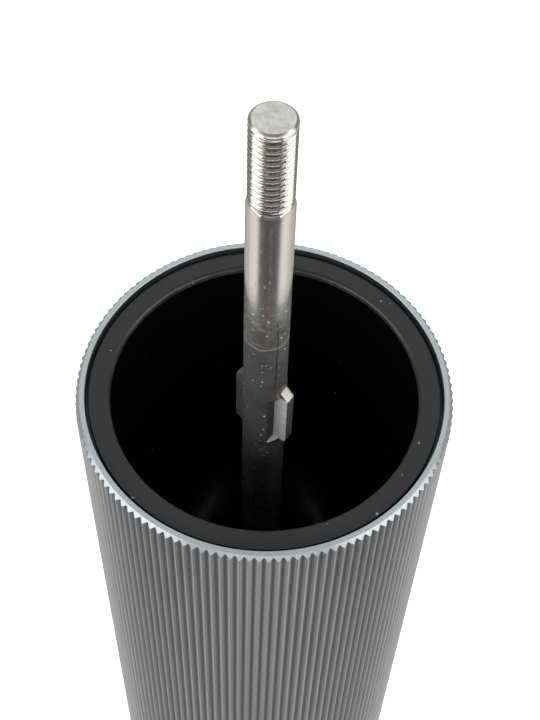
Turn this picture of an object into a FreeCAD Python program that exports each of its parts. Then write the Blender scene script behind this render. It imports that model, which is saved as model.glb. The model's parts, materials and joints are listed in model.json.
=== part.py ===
# Fluted mill body with its grinding spindle, standing open with the head taken off.
# Millimetres. +Z runs up the spindle, and the origin is the middle of the footprint, on the table.
# The sheet holds every size that can be set by itself. PLACES spells out the heights and radii that
# follow from them, from the outside in and from the table up.
import FreeCAD
import Part
import Sketcher
import math
import os
import re

SIZES = {
    # overall
    "body_height": 145.0,        # table to the sleeve's rim
    "body_width": 55.0,          # across the flute crests
    "spindle_rise": 56.1,        # rim to the spindle's upper end
    # fluted sleeve
    "sleeve_wall": 1.4,
    "flute_count": 130,
    "flute_depth": 0.5,
    "flute_crest": 0.12,         # flat left on each crest
    "rim_chamfer": 0.65,
    # rim collar and chamber liner
    "collar_drop": 0.75,         # rim down to the collar's face
    "collar_gap": 0.5,           # shadow groove between collar face and sleeve
    "collar_gap_depth": 1.2,
    "collar_face": 3.1,          # from the shadow groove to the bore
    "collar_lip": 0.9,           # collar's face down to the liner's edge
    "collar_round": 0.6,         # radius on the collar's inner edge
    "collar_break": 0.1,         # bevel on its outer edge
    "skirt_length": 11.1,
    "skirt_bevel": 0.3,
    "liner_wall": 2.0,
    # cord rings that centre the insert in the sleeve
    "seal_wire": 0.98,
    "seal_groove_depth": 1.0,
    "seal_groove_width": 1.5,
    "collar_seal_drop": 6.0,
    "base_seal_rise": 7.0,
    # base ring and foot
    "foot_thick": 1.6,
    "foot_proud": 0.6,
    "foot_margin": 0.8,
    "foot_bevel": 0.3,
    "base_inset": 0.2,           # flange edge inside the flute roots
    "base_flange": 2.4,
    "base_wall": 6.0,
    "base_screw_shank": 2.5,
    "base_screw_head": 4.2,
    "base_screw_head_height": 1.6,
    "base_screw_sink": 4.4,
    "base_screw_bite": 2.49,     # thread held in the housing
    # grinder housing
    "housing_flange": 4.5,
    "housing_plug": 4.5,
    "housing_wall": 2.4,
    "seat_shoulder": 2.0,
    "throat_land": 2.0,
    # burr ring, its retainer and its three keys
    "burr_height": 9.6,
    "burr_wall": 2.55,
    "burr_key_width": 4.0,
    "burr_key_reach": 1.2,
    "burr_key_height": 4.5,
    "grind_angle": 22.0,         # degrees from the spindle axis
    "fine_height": 4.0,
    "fine_tooth": 0.6,
    "ring_fine_count": 36,
    "ring_coarse_count": 9,
    "ring_coarse_tooth": 1.5,
    "grind_travel": 1.6,         # spindle lift from coarse to fine
    "mesh_gap": 0.2,             # radial gap between the burrs with the spindle fully up
    "retainer_height": 2.2,
    "retainer_width": 2.0,
    "retainer_bead": 0.35,
    # cone burr and its core
    "cone_fine_count": 40,
    "cone_coarse_count": 7,
    "cone_coarse_tooth": 2.0,
    "cone_wall": 2.4,            # ceramic left around the core's hub at the nose
    "cone_rim": 3.0,             # ceramic left around the core's flange
    "hub_wall": 2.4,
    "core_inset": 0.1,
    "core_flange_height": 1.4,
    "core_key_width": 1.6,
    "core_key_reach": 1.0,
    "core_key_height": 5.0,
    # spindle
    "spindle_width": 6.4,
    "flat_width": 5.0,           # across the two driving flats
    "head_seat_width": 6.3,      # turned down for the head, above the ears
    "head_seat_rise": 0.2,       # ear top to the taper down to it
    "head_seat_taper": 0.8,
    "spindle_lift": 1.85,        # table to the spindle's lower end
    "spindle_tail": 1.3,         # below the core clip
    "thread_width": 5.94,
    "thread_pitch": 1.0,
    "thread_root": 4.76,
    "thread_length": 13.5,
    "thread_lead_in": 1.2,
    "end_break": 0.4,            # rounding of the upper end
    "tail_chamfer": 0.8,
    "ear_rise": 2.25,            # ear top above the rim
    "ear_length": 12.9,
    "ear_tip": 9.0,              # across the two ears
    "ear_thick": 1.6,
    "ear_offset": 0.6,           # sheared face from the spindle's middle plane
    "ear_top_bevel": 1.3,
    "ear_foot_bevel": 0.9,
    "pocket_floor": 2.2,         # spindle axis to the shaved floor
    "spindle_turn": -35.0,       # degrees, as it stands
    # clips and washers
    "core_clip_thick": 0.6,
    "core_clip_reach": 1.4,      # outside the spindle
    "core_groove_depth": 1.0,
    "core_washer_thick": 0.5,
    "stop_clip_thick": 0.8,
    "stop_clip_reach": 2.4,
    "stop_groove_depth": 0.7,
    "stop_washer_thick": 0.6,
    "thrust_washer_thick": 0.4,
    "washer_margin": 0.5,        # a washer's edge inside the face that it lies on
    # spring and its cage
    "spring_wire": 1.0,
    "spring_clearance": 1.2,     # spindle to coil
    "spring_turns": 5.4,
    "spring_length": 7.9,
    "cage_floor": 1.2,
    "cage_wall": 1.35,
    "cage_rim": 1.9,
    "cage_clearance": 0.35,      # spring to cage wall
    "prong_width": 2.2,
    "prong_thick": 1.1,
    "prong_length": 9.5,
    # spider and bush
    "spider_ring": 3.6,
    "spider_ring_height": 5.0,
    "spider_ring_slope": 1.5,
    "arm_width": 3.0,
    "arm_height": 4.0,
    "boss_height": 4.5,
    "bush_wall": 1.1,
    "bush_flange": 0.8,
    "spider_screw_shank": 2.0,
    "spider_screw_head": 3.2,
    "spider_screw_head_height": 1.2,
    "spider_screw_sink": 1.6,
    "spider_screw_bite": 3.85,   # thread held in the housing
    # clearances
    "push_gap": 0.05,            # radial, between pieces pushed together
    "running_gap": 0.05,         # radial, spindle in its bush
    "stack_gap": 0.03,           # between pieces stacked on the spindle
    "slide_gap": 0.2,            # round the cage's prongs
    "loose_gap": 0.2,            # washers and clips round the spindle
}

PLACES = {
    # radii, from the outside in
    "crest_r": "body_width / 2",
    "bore_r": "crest_r - sleeve_wall",
    "fit_r": "bore_r - push_gap",
    "face_r": "bore_r - collar_gap",
    "chamber_r": "face_r - collar_face",
    "liner_r": "chamber_r + liner_wall",
    "plug_r": "chamber_r - push_gap",
    "feed_r": "plug_r - spider_ring",
    "base_flange_r": "crest_r - flute_depth - base_inset",
    "base_bore_r": "fit_r - base_wall",
    "base_screw_r": "base_bore_r + base_wall / 2",
    "foot_in_r": "base_bore_r + foot_margin",
    "foot_out_r": "base_flange_r - foot_margin",
    "housing_r": "base_bore_r - push_gap",
    "seat_r": "housing_r - housing_wall",
    "throat_r": "seat_r - seat_shoulder",
    "burr_r": "seat_r - push_gap",
    "cavity_r": "burr_r - burr_wall",
    "waist_r": "cavity_r - fine_height * tan(grind_angle * 1deg)",
    "mouth_r": "waist_r + 0.3",
    "open_gap": "mesh_gap + grind_travel * tan(grind_angle * 1deg)",
    "cone_r": "cavity_r - open_gap",
    "cone_waist_r": "waist_r - open_gap",
    "core_flange_r": "cone_r - cone_rim",
    "spindle_r": "spindle_width / 2",
    "loose_hole_r": "spindle_r + loose_gap",
    "hub_r": "spindle_r + hub_wall",
    "nose_r": "hub_r + cone_wall",
    "bush_bore_r": "spindle_r + running_gap",
    "bush_r": "bush_bore_r + bush_wall",
    "spring_r": "spindle_r + spring_clearance + spring_wire / 2",
    "cage_in_r": "spring_r + spring_wire / 2 + cage_clearance",
    "cage_r": "cage_in_r + cage_wall",
    "prong_in_r": "cage_r - prong_thick",
    "notch_r": "prong_in_r - slide_gap / 2",
    "boss_r": "cage_r + slide_gap / 2",
    "bush_flange_r": "notch_r - slide_gap",
    "core_groove_r": "spindle_r - core_groove_depth",
    "stop_groove_r": "spindle_r - stop_groove_depth",
    "core_clip_r": "spindle_r + core_clip_reach",
    "stop_clip_r": "spindle_r + stop_clip_reach",
    "core_washer_r": "hub_r - push_gap",
    "thrust_washer_r": "cage_r - washer_margin",
    "stop_washer_r": "bush_flange_r - washer_margin",
    "spider_screw_r": "plug_r - spider_ring / 2",
    # heights, from the table up
    "spindle_low": "spindle_lift",
    "core_clip_low": "spindle_low + spindle_tail",
    "core_washer_low": "core_clip_low + core_clip_thick + stack_gap",
    "core_low": "core_washer_low + core_washer_thick + stack_gap",
    "core_step": "core_low + core_flange_height",
    "cone_low": "core_low - core_inset",
    "ring_low": "cone_low + loose_gap",
    "ring_waist": "ring_low + fine_height",
    "retainer_low": "ring_low - retainer_height",
    "housing_low": "retainer_low - loose_gap",
    "sleeve_foot": "foot_proud + base_flange",
    "base_top": "ring_low + burr_height",
    "flange_top": "base_top + housing_flange",
    "plug_top": "flange_top + housing_plug",
    "core_top": "base_top + 5 * core_inset",
    "cone_top": "core_top - core_inset",
    "washer_top": "core_top + thrust_washer_thick",
    "cage_low": "washer_top + stack_gap",
    "cage_seat": "cage_low + cage_floor",
    "cage_top": "cage_seat + cage_rim",
    "boss_low": "cage_seat + spring_length",
    "boss_top": "boss_low + boss_height",
    "arm_low": "boss_top - arm_height",
    "spider_top": "plug_top + spider_ring_height",
    "spider_screw_seat": "spider_top - spider_ring_slope / 2 - spider_screw_sink",
    "spider_screw_length": "spider_screw_seat - plug_top + spider_screw_bite",
    "base_screw_seat": "foot_thick + base_screw_sink",
    "base_screw_length": "base_top - base_screw_seat + base_screw_bite",
    "bush_top": "boss_top + bush_flange",
    "stop_washer_low": "bush_top + stack_gap",
    "stop_clip_low": "stop_washer_low + stop_washer_thick + stack_gap",
    "collar_top": "body_height - collar_drop",
    "liner_top": "collar_top - collar_lip",
    "skirt_low": "liner_top - skirt_length",
    "collar_seal_z": "collar_top - collar_seal_drop",
    "base_seal_z": "sleeve_foot + base_seal_rise",
    "spindle_top": "body_height + spindle_rise",
    "thread_low": "spindle_top - thread_length",
    "ear_top": "body_height + ear_rise",
    "ear_low": "ear_top - ear_length",
}

doc = FreeCAD.newDocument("mill_body")
sheet = doc.addObject("Spreadsheet::Sheet", "sizes")
nodes = {}


# ---- sheet and formulas ----------------------------------------------------

def fill_sheet():
    for row, (name, size) in enumerate(SIZES.items(), start=1):
        sheet.set(f"A{row}", name)
        sheet.set(f"B{row}", str(size))
        sheet.setAlias(f"B{row}", name)
    doc.recompute()


def formula(text):
    """The text with each place spelled out and each size read from the sheet."""
    words = re.split(r"([A-Za-z_]\w*)", text)
    for i, word in enumerate(words):
        if word in PLACES:
            words[i] = "(" + formula(PLACES[word]) + ")"
        elif word in SIZES:
            words[i] = "sizes." + word
    return "".join(words)


def size(text):
    return float(sheet.evalExpression(formula(text)))


# ---- sketches --------------------------------------------------------------

def name_node(label, solid):
    """Make an object one of the sub-parts that are written out."""
    solid.Label = label
    nodes[label] = solid
    return solid


def new_body(label):
    return name_node(label, doc.addObject("PartDesign::Body", label))


def new_sketch(body, name, plane, lift="0", turn=0.0):
    """A sketch on one of the body's own planes, lifted along its normal and turned in it."""
    sketch = body.newObject("Sketcher::SketchObject", f"{body.Name}_{name}")
    support = [f for f in body.Origin.OriginFeatures if f.Role == plane]
    sketch.AttachmentSupport = (support[0], [""])
    sketch.MapMode = "FlatFace"
    about_normal = FreeCAD.Rotation(FreeCAD.Vector(0, 0, 1), turn)
    sketch.AttachmentOffset = FreeCAD.Placement(FreeCAD.Vector(), about_normal)
    sketch.setExpression("AttachmentOffset.Base.z", formula(lift))
    return sketch


def hold(sketch, kind, line, text):
    """Pin one coordinate of a line's first point to a formula."""
    if text == "0":
        axis = {"DistanceX": -2, "DistanceY": -1}[kind]
        sketch.addConstraint(Sketcher.Constraint("PointOnObject", line, 1, axis))
        return
    index = sketch.addConstraint(Sketcher.Constraint(kind, line, 1, size(text)))
    sketch.setExpression(f"Constraints[{index}]", formula(text))


def outline(body, name, plane, points, lift="0", turn=0.0):
    """A closed outline of straight lines, each corner held to its own two formulas."""
    sketch = new_sketch(body, name, plane, lift, turn)
    corners = [FreeCAD.Vector(size(x), size(y), 0) for x, y in points]
    count = len(corners)
    for i in range(count):
        sketch.addGeometry(Part.LineSegment(corners[i], corners[(i + 1) % count]))
    for i in range(count):
        sketch.addConstraint(Sketcher.Constraint("Coincident", i, 2, (i + 1) % count, 1))
    for i, (x, y) in enumerate(points):
        hold(sketch, "DistanceX", i, x)
        hold(sketch, "DistanceY", i, y)
    return sketch


def circle(body, name, plane, radius, lift="0", along="0", up="0", turn=0.0):
    """One circle, its centre held to two formulas in the sketch's own axes."""
    sketch = new_sketch(body, name, plane, lift, turn)
    centre = FreeCAD.Vector(size(along), size(up), 0)
    sketch.addGeometry(Part.Circle(centre, FreeCAD.Vector(0, 0, 1), size(radius)))
    index = sketch.addConstraint(Sketcher.Constraint("Radius", 0, size(radius)))
    sketch.setExpression(f"Constraints[{index}]", formula(radius))
    for kind, text in (("DistanceX", along), ("DistanceY", up)):
        if text == "0":
            axis = {"DistanceX": -2, "DistanceY": -1}[kind]
            sketch.addConstraint(Sketcher.Constraint("PointOnObject", 0, 3, axis))
        else:
            index = sketch.addConstraint(Sketcher.Constraint(kind, 0, 3, size(text)))
            sketch.setExpression(f"Constraints[{index}]", formula(text))
    return sketch


def rectangle(body, name, x_low, x_high, y_low, y_high, lift, turn=0.0, plane="XY_Plane"):
    points = [(x_low, y_low), (x_high, y_low), (x_high, y_high), (x_low, y_high)]
    return outline(body, name, plane, points, lift, turn)


# ---- features --------------------------------------------------------------

def revolve(body, points, name="turned", kind="PartDesign::Revolution"):
    """Turn an outline drawn in the XZ plane, radius then height, about the Z axis."""
    sketch = outline(body, name + "_outline", "XZ_Plane", points)
    feature = body.newObject(kind, f"{body.Name}_{name}")
    feature.Profile = sketch
    feature.ReferenceAxis = (sketch, ["V_Axis"])
    feature.Angle = 360
    return feature


def pad(body, sketch, length, up=True):
    feature = body.newObject("PartDesign::Pad", sketch.Name + "_pad")
    feature.Profile = sketch
    feature.setExpression("Length", formula(length))
    feature.Reversed = not up
    return feature


def pocket(body, sketch, depth=None, up=False):
    """Cut along the sketch's normal, up or down by a depth, or both ways right through."""
    feature = body.newObject("PartDesign::Pocket", sketch.Name + "_cut")
    feature.Profile = sketch
    if depth is None:
        feature.Type = "ThroughAll"
        feature.Midplane = True
    else:
        feature.setExpression("Length", formula(depth))
        feature.Reversed = up
    return feature


def around(body, features, sketch, count):
    """Repeat features evenly about the Z axis. The sketch lies in a plane across that axis."""
    feature = body.newObject("PartDesign::PolarPattern", features[0].Name + "_round")
    feature.Originals = features
    feature.Axis = (sketch, ["N_Axis"])
    feature.Angle = 360
    feature.setExpression("Occurrences", formula(count))
    body.Tip = feature
    return feature


def turned(label, points):
    body = new_body(label)
    revolve(body, points)
    return body


def round_edge(body, edge_r, height, radius):
    """Fillet the round edge of a turned body that has this radius and height."""
    doc.recompute()
    base = body.Tip
    for i, edge in enumerate(base.Shape.Edges, start=1):
        curve = edge.Curve
        if not isinstance(curve, Part.Circle) or abs(curve.Radius - size(edge_r)) > 0.001:
            continue
        if abs(curve.Center.z - size(height)) < 0.001:
            feature = body.newObject("PartDesign::Fillet", base.Name + "_rounded")
            feature.Base = (base, [f"Edge{i}"])
            feature.setExpression("Radius", formula(radius))
            return
    raise RuntimeError(f"{body.Name} has no edge of radius {edge_r} at {height}")


def tooth_gap(body, name, low, high, depth, mouth, twist, count):
    """A V gap lofted between two heights, (height, crest radius) each, repeated about Z.

    A negative depth cuts inward, into a cone. A positive one cuts outward, into a ring's bore.
    """
    sketches = []
    for end, (height, crest), turn in (("low", low, 0.0), ("high", high, twist)):
        points = [
            (f"{crest} + {depth}", "0"),
            (f"{crest} - {depth}", mouth),
            (f"{crest} - {depth}", f"0 - {mouth}"),
        ]
        sketches.append(outline(body, f"{name}_{end}", "XY_Plane", points, height, turn))
    loft = body.newObject("PartDesign::SubtractiveLoft", f"{body.Name}_{name}")
    loft.Profile = sketches[0]
    loft.Sections = [sketches[1]]
    loft.Ruled = True
    around(body, [loft], sketches[0], count)


def primitive(kind, name, sizes, base=("0", "0", "0")):
    """A Part primitive whose own sizes and place are bound to the sheet."""
    solid = doc.addObject(kind, name)
    for key, text in sizes.items():
        solid.setExpression(key, formula(text))
    for axis, text in zip("xyz", base):
        solid.setExpression(f"Placement.Base.{axis}", formula(text))
    return solid


def cylinder(name, radius, low, height):
    return primitive("Part::Cylinder", name, {"Radius": radius, "Height": height}, ("0", "0", low))


def block(name, x_low, x_long, y_low, y_long, low, height):
    sizes = {"Length": x_long, "Width": y_long, "Height": height}
    return primitive("Part::Box", name, sizes, (x_low, y_low, low))


def joined(kind, name, first, second):
    result = doc.addObject(kind, name)
    result.Base = first
    result.Tool = second
    return result


def fused(name, pieces):
    result = doc.addObject("Part::MultiFuse", name)
    result.Shapes = pieces
    return result


def turn_with_spindle(solid):
    solid.setExpression("Placement.Rotation.Angle", formula("spindle_turn"))


# ---- sleeve, collar and liner ----------------------------------------------

def fluted_sleeve():
    body = turned("fluted_sleeve", [
        ("bore_r", "sleeve_foot"),
        ("crest_r - rim_chamfer", "sleeve_foot"),
        ("crest_r", "sleeve_foot + rim_chamfer"),
        ("crest_r", "body_height - rim_chamfer"),
        ("crest_r - rim_chamfer", "body_height"),
        ("bore_r", "body_height"),
    ])
    # twice the flute's depth and half width, so that the V leaves the crest flat at the crest
    mouth = "(pi * body_width / flute_count - flute_crest)"
    flute = outline(body, "flute", "XY_Plane", [
        ("crest_r - flute_depth", "0"),
        ("crest_r + flute_depth", mouth),
        ("crest_r + flute_depth", "0 - " + mouth),
    ])
    around(body, [pocket(body, flute)], flute, "flute_count")


def seal_groove(body, height):
    """A groove for a cord ring in a cylinder that fits the sleeve's bore."""
    revolve(body, [
        ("fit_r - seal_groove_depth", height + " - seal_groove_width / 2"),
        ("fit_r + seal_groove_depth", height + " - seal_groove_width / 2"),
        ("fit_r + seal_groove_depth", height + " + seal_groove_width / 2"),
        ("fit_r - seal_groove_depth", height + " + seal_groove_width / 2"),
    ], "seal_groove", "PartDesign::Groove")


def rim_collar():
    body = turned("rim_collar", [
        ("chamber_r", "liner_top"),
        ("chamber_r", "collar_top"),
        ("face_r - collar_break", "collar_top"),
        ("face_r", "collar_top - collar_break"),
        ("face_r", "collar_top - collar_gap_depth"),
        ("fit_r", "collar_top - collar_gap_depth"),
        ("fit_r", "skirt_low + skirt_bevel"),
        ("fit_r - skirt_bevel", "skirt_low"),
        ("liner_r + push_gap", "skirt_low"),
        ("liner_r + push_gap", "liner_top"),
    ])
    seal_groove(body, "collar_seal_z")
    round_edge(body, "chamber_r", "collar_top", "collar_round")


def chamber_liner():
    turned("chamber_liner", [
        ("chamber_r", "flange_top"),
        ("liner_r", "flange_top"),
        ("liner_r", "liner_top"),
        ("chamber_r", "liner_top"),
    ])


def cord_ring(label, height):
    ring = primitive("Part::Torus", label, {
        "Radius1": "fit_r - seal_groove_depth + push_gap + seal_wire / 2",
        "Radius2": "seal_wire / 2",
    }, ("0", "0", height))
    name_node(label, ring)


# ---- base ------------------------------------------------------------------

def base_ring():
    body = turned("base_ring", [
        ("base_bore_r", "foot_proud"),
        ("foot_in_r", "foot_proud"),
        ("foot_in_r", "foot_thick"),
        ("foot_out_r", "foot_thick"),
        ("foot_out_r", "foot_proud"),
        ("base_flange_r - foot_margin / 2", "foot_proud"),
        ("base_flange_r", "foot_proud + foot_margin / 2"),
        ("base_flange_r", "sleeve_foot"),
        ("fit_r", "sleeve_foot"),
        ("fit_r", "base_top"),
        ("base_bore_r", "base_top"),
    ])
    seal_groove(body, "base_seal_z")
    sink = circle(body, "sink", "XY_Plane", "base_screw_head / 2 + push_gap", "foot_thick",
                  "base_screw_r")
    around(body, [pocket(body, sink, "base_screw_sink", up=True)], sink, "3")
    hole = circle(body, "hole", "XY_Plane", "base_screw_shank / 2 + push_gap", "foot_thick",
                  "base_screw_r")
    around(body, [pocket(body, hole)], hole, "3")


def foot_ring():
    turned("foot_ring", [
        ("foot_in_r + push_gap", "foot_bevel"),
        ("foot_in_r + push_gap + foot_bevel", "0"),
        ("foot_out_r - push_gap - foot_bevel", "0"),
        ("foot_out_r - push_gap", "foot_bevel"),
        ("foot_out_r - push_gap", "foot_thick"),
        ("foot_in_r + push_gap", "foot_thick"),
    ])


def screws(kind, angle, circle_r, seat, up):
    """Three pointed cross-head screws in one group, on a circle about Z, heads' undersides on the seat."""
    shank, head, long = f"{kind}_shank / 2", f"{kind}_head / 2", f"{kind}_length"
    rise, dome = f"{kind}_head_height", f"{kind}_head_height * 0.35"
    sign = "" if up else "0 - "
    points = [
        ("0", f"0 - {rise}"),
        (f"{head} - {dome}", f"0 - {rise}"),
        (head, f"{dome} - {rise}"),
        (head, "0"),
        (shank, "0"),
        (shank, f"{long} - {kind}_shank"),
        (f"{shank} / 5", long),
        ("0", long),
    ]
    group = name_node(kind + "s", doc.addObject("Part::Compound", kind + "s"))
    for i in range(3):
        body = doc.addObject("PartDesign::Body", f"{kind}_{i + 1}")
        revolve(body, [(across, f"{sign}({along})") for across, along in points])
        for name, reach, half in (("slot", 0.6, 0.14), ("cross", 0.14, 0.6)):
            recess = rectangle(body, name, f"0 - {reach} * {head}", f"{reach} * {head}",
                               f"0 - {half} * {head}", f"{half} * {head}", f"{sign}(0 - {rise})")
            pocket(body, recess, f"{rise} * 0.6", up=up)
        turn = f"{angle + 120 * i} * 1deg"
        body.setExpression("Placement.Base.x", formula(f"{circle_r} * cos({turn})"))
        body.setExpression("Placement.Base.y", formula(f"{circle_r} * sin({turn})"))
        body.setExpression("Placement.Base.z", formula(seat))
        group.Links = group.Links + [body]


# ---- housing, ring burr and retainer ---------------------------------------

def burr_housing():
    body = turned("burr_housing", [
        ("seat_r", "housing_low"),
        ("housing_r", "housing_low"),
        ("housing_r", "base_top"),
        ("fit_r", "base_top"),
        ("fit_r", "flange_top"),
        ("plug_r", "flange_top"),
        ("plug_r", "plug_top"),
        ("feed_r", "plug_top"),
        ("throat_r", "base_top + throat_land"),
        ("throat_r", "base_top"),
        ("seat_r", "base_top"),
    ])
    revolve(body, [
        ("seat_r - retainer_bead", "retainer_low + retainer_height * 0.3 - push_gap"),
        ("seat_r + retainer_bead", "retainer_low + retainer_height * 0.3 - push_gap"),
        ("seat_r + retainer_bead", "retainer_low + retainer_height * 0.7 + push_gap"),
        ("seat_r - retainer_bead", "retainer_low + retainer_height * 0.7 + push_gap"),
    ], "bead_groove", "PartDesign::Groove")
    keyway = rectangle(body, "keyway", "seat_r - 1", "seat_r + burr_key_reach",
                       "0 - burr_key_width / 2 - push_gap", "burr_key_width / 2 + push_gap",
                       "housing_low")
    cut = pocket(body, keyway, "ring_low + burr_key_height + push_gap - housing_low", up=True)
    around(body, [cut], keyway, "3")
    pilot = circle(body, "pilot", "XY_Plane", "base_screw_shank / 2 + push_gap", "base_top",
                   "base_screw_r")
    around(body, [pocket(body, pilot, "base_screw_bite + loose_gap", up=True)], pilot, "3")
    top_pilot = circle(body, "top_pilot", "XY_Plane", "spider_screw_shank / 2 + push_gap",
                       "plug_top", "spider_screw_r", turn=30)
    around(body, [pocket(body, top_pilot, "spider_screw_bite + loose_gap")], top_pilot, "3")


def ring_burr():
    body = turned("ring_burr", [
        ("cavity_r", "ring_low"),
        ("burr_r", "ring_low"),
        ("burr_r", "base_top"),
        ("mouth_r", "base_top"),
        ("waist_r", "ring_waist"),
    ])
    key = rectangle(body, "key", "burr_r - 0.5", "burr_r + burr_key_reach - push_gap",
                    "0 - burr_key_width / 2", "burr_key_width / 2", "ring_low")
    around(body, [pad(body, key, "burr_key_height")], key, "3")
    slope = "tan(grind_angle * 1deg)"
    tooth_gap(body, "fine", ("ring_low - 0.5", f"(cavity_r + 0.5 * {slope})"),
              ("ring_waist + 0.8", f"(waist_r - 0.8 * {slope})"),
              "fine_tooth", "pi * cavity_r / ring_fine_count * 0.8", 6.0, "ring_fine_count")
    tooth_gap(body, "coarse", ("ring_waist - 0.5", "(waist_r - ring_coarse_tooth * 0.7)"),
              ("base_top + 0.5", "mouth_r"),
              "ring_coarse_tooth", "pi * waist_r / ring_coarse_count * 0.75", 14.0,
              "ring_coarse_count")


def burr_retainer():
    body = turned("burr_retainer", [
        ("burr_r - retainer_width", "retainer_low"),
        ("burr_r", "retainer_low"),
        ("burr_r", "retainer_low + retainer_height * 0.3"),
        ("burr_r + retainer_bead", "retainer_low + retainer_height * 0.4"),
        ("burr_r + retainer_bead", "retainer_low + retainer_height * 0.6"),
        ("burr_r", "retainer_low + retainer_height * 0.7"),
        ("burr_r", "ring_low"),
        ("burr_r - retainer_width", "ring_low"),
    ])
    notch = rectangle(body, "tool_notch", "burr_r - retainer_width - 1", "burr_r - 1",
                      "0 - 1.5", "1.5", "retainer_low", turn=60)
    around(body, [pocket(body, notch, "retainer_height / 2", up=True)], notch, "3")


# ---- cone burr and core ----------------------------------------------------

def cone_burr():
    slope = "tan(grind_angle * 1deg)"
    flange = "core_flange_r + push_gap"
    foot = f"(cone_r + loose_gap * {slope})"
    waist = f"(cone_waist_r + loose_gap * {slope})"
    body = turned("cone_burr", [
        (flange, "cone_low"),
        (foot, "cone_low"),
        (waist, "ring_waist - loose_gap"),
        ("nose_r", "cone_top"),
        ("hub_r + push_gap", "cone_top"),
        ("hub_r + push_gap", "core_step + stack_gap"),
        (flange, "core_step + stack_gap"),
    ])
    reach = "hub_r + core_key_reach + push_gap"
    keyway = rectangle(body, "keyway", "0 - " + reach.replace("+", "-"), reach,
                       "0 - core_key_width / 2 - push_gap", "core_key_width / 2 + push_gap",
                       "cone_low")
    pocket(body, keyway, "core_inset + core_key_height + stack_gap", up=True)
    tooth_gap(body, "fine", ("cone_low - 0.5", f"({foot} + 0.5 * {slope})"),
              ("ring_waist + 0.8", f"(cone_waist_r - 0.8 * {slope})"),
              "-fine_tooth", "pi * cone_r / cone_fine_count * 0.8", 6.0, "cone_fine_count")
    tooth_gap(body, "coarse", ("ring_waist - 0.6", "(cone_waist_r + 0.9)"),
              ("cone_top + 0.5", "(nose_r + 0.6)"),
              "-cone_coarse_tooth", "pi * cone_waist_r / cone_coarse_count * 0.5", 30.0,
              "cone_coarse_count")
    turn_with_spindle(body)


def double_flat_bore(low, height):
    """The spindle's flatted end as a tool, a running gap larger all round."""
    round_bore = cylinder("core_bore_round", "spindle_r + push_gap", low, height)
    between = block("core_bore_flats", "0 - flat_width / 2 - push_gap",
                    "flat_width + 2 * push_gap", "0 - spindle_width", "2 * spindle_width",
                    low, height)
    return joined("Part::Common", "core_bore", round_bore, between)


def burr_core():
    height = "core_top - core_low"
    hub = cylinder("core_hub", "hub_r", "core_low", height)
    flange = cylinder("core_flange", "core_flange_r", "core_low", "core_flange_height")
    keys = block("core_keys", "0 - hub_r - core_key_reach", "2 * (hub_r + core_key_reach)",
                 "0 - core_key_width / 2", "core_key_width", "core_low", "core_key_height")
    solid = fused("core_solid", [hub, flange, keys])
    bore = double_flat_bore("core_low - 1", "core_top - core_low + 2")
    core = name_node("burr_core", joined("Part::Cut", "burr_core", solid, bore))
    turn_with_spindle(core)


# ---- spindle ---------------------------------------------------------------

def spindle():
    body = turned("spindle", [
        ("0", "spindle_low"),
        ("spindle_r - tail_chamfer", "spindle_low"),
        ("spindle_r", "spindle_low + tail_chamfer"),
        ("spindle_r", "ear_top + head_seat_rise"),
        ("head_seat_width / 2", "ear_top + head_seat_rise + head_seat_taper"),
        ("head_seat_width / 2", "thread_low - thread_lead_in"),
        ("thread_width / 2", "thread_low"),
        ("thread_width / 2", "spindle_top - end_break"),
        ("thread_width / 2 - end_break * 0.3", "spindle_top - end_break * 0.3"),
        ("thread_width / 2 - end_break", "spindle_top"),
        ("0", "spindle_top"),
    ])
    clip_groove(body, "core_clip_groove", "core_groove_r", "core_clip_low", "core_clip_thick")
    clip_groove(body, "stop_clip_groove", "stop_groove_r", "stop_clip_low", "stop_clip_thick")
    flat = rectangle(body, "flat", "flat_width / 2", "spindle_width", "0 - spindle_width",
                     "spindle_width", "spindle_low - 1")
    around(body, [pocket(body, flat, "core_top - spindle_low + 1 + stack_gap", up=True)], flat, "2")
    ears(body)
    thread(body)
    turn_with_spindle(body)


def clip_groove(body, name, radius, low, thick):
    revolve(body, [
        (radius, low + " - stack_gap"),
        ("spindle_width", low + " - stack_gap"),
        ("spindle_width", low + " + " + thick + " + stack_gap"),
        (radius, low + " + " + thick + " + stack_gap"),
    ], name, "PartDesign::Groove")


def ears(body):
    """Two driving ears, each raised by shaving a pocket along the spindle beside it."""
    floor = rectangle(body, "shaved", "pocket_floor", "spindle_width", "0 - spindle_width",
                      "0 - ear_offset", "ear_low + ear_foot_bevel / 2")
    length = "ear_length - ear_foot_bevel / 2 - ear_top_bevel"
    shaving = pocket(body, floor, length, up=True)
    around(body, [shaving], floor, "2")
    side = outline(body, "ear", "XZ_Plane", [
        ("pocket_floor - 0.6", "ear_low"),
        ("ear_tip / 2 - ear_foot_bevel", "ear_low"),
        ("ear_tip / 2", "ear_low + ear_foot_bevel"),
        ("ear_tip / 2", "ear_top - ear_top_bevel"),
        ("ear_tip / 2 - ear_top_bevel", "ear_top"),
        ("pocket_floor - 0.6", "ear_top"),
    ], "ear_offset - ear_thick")
    around(body, [pad(body, side, "ear_thick")], floor, "2")


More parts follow.
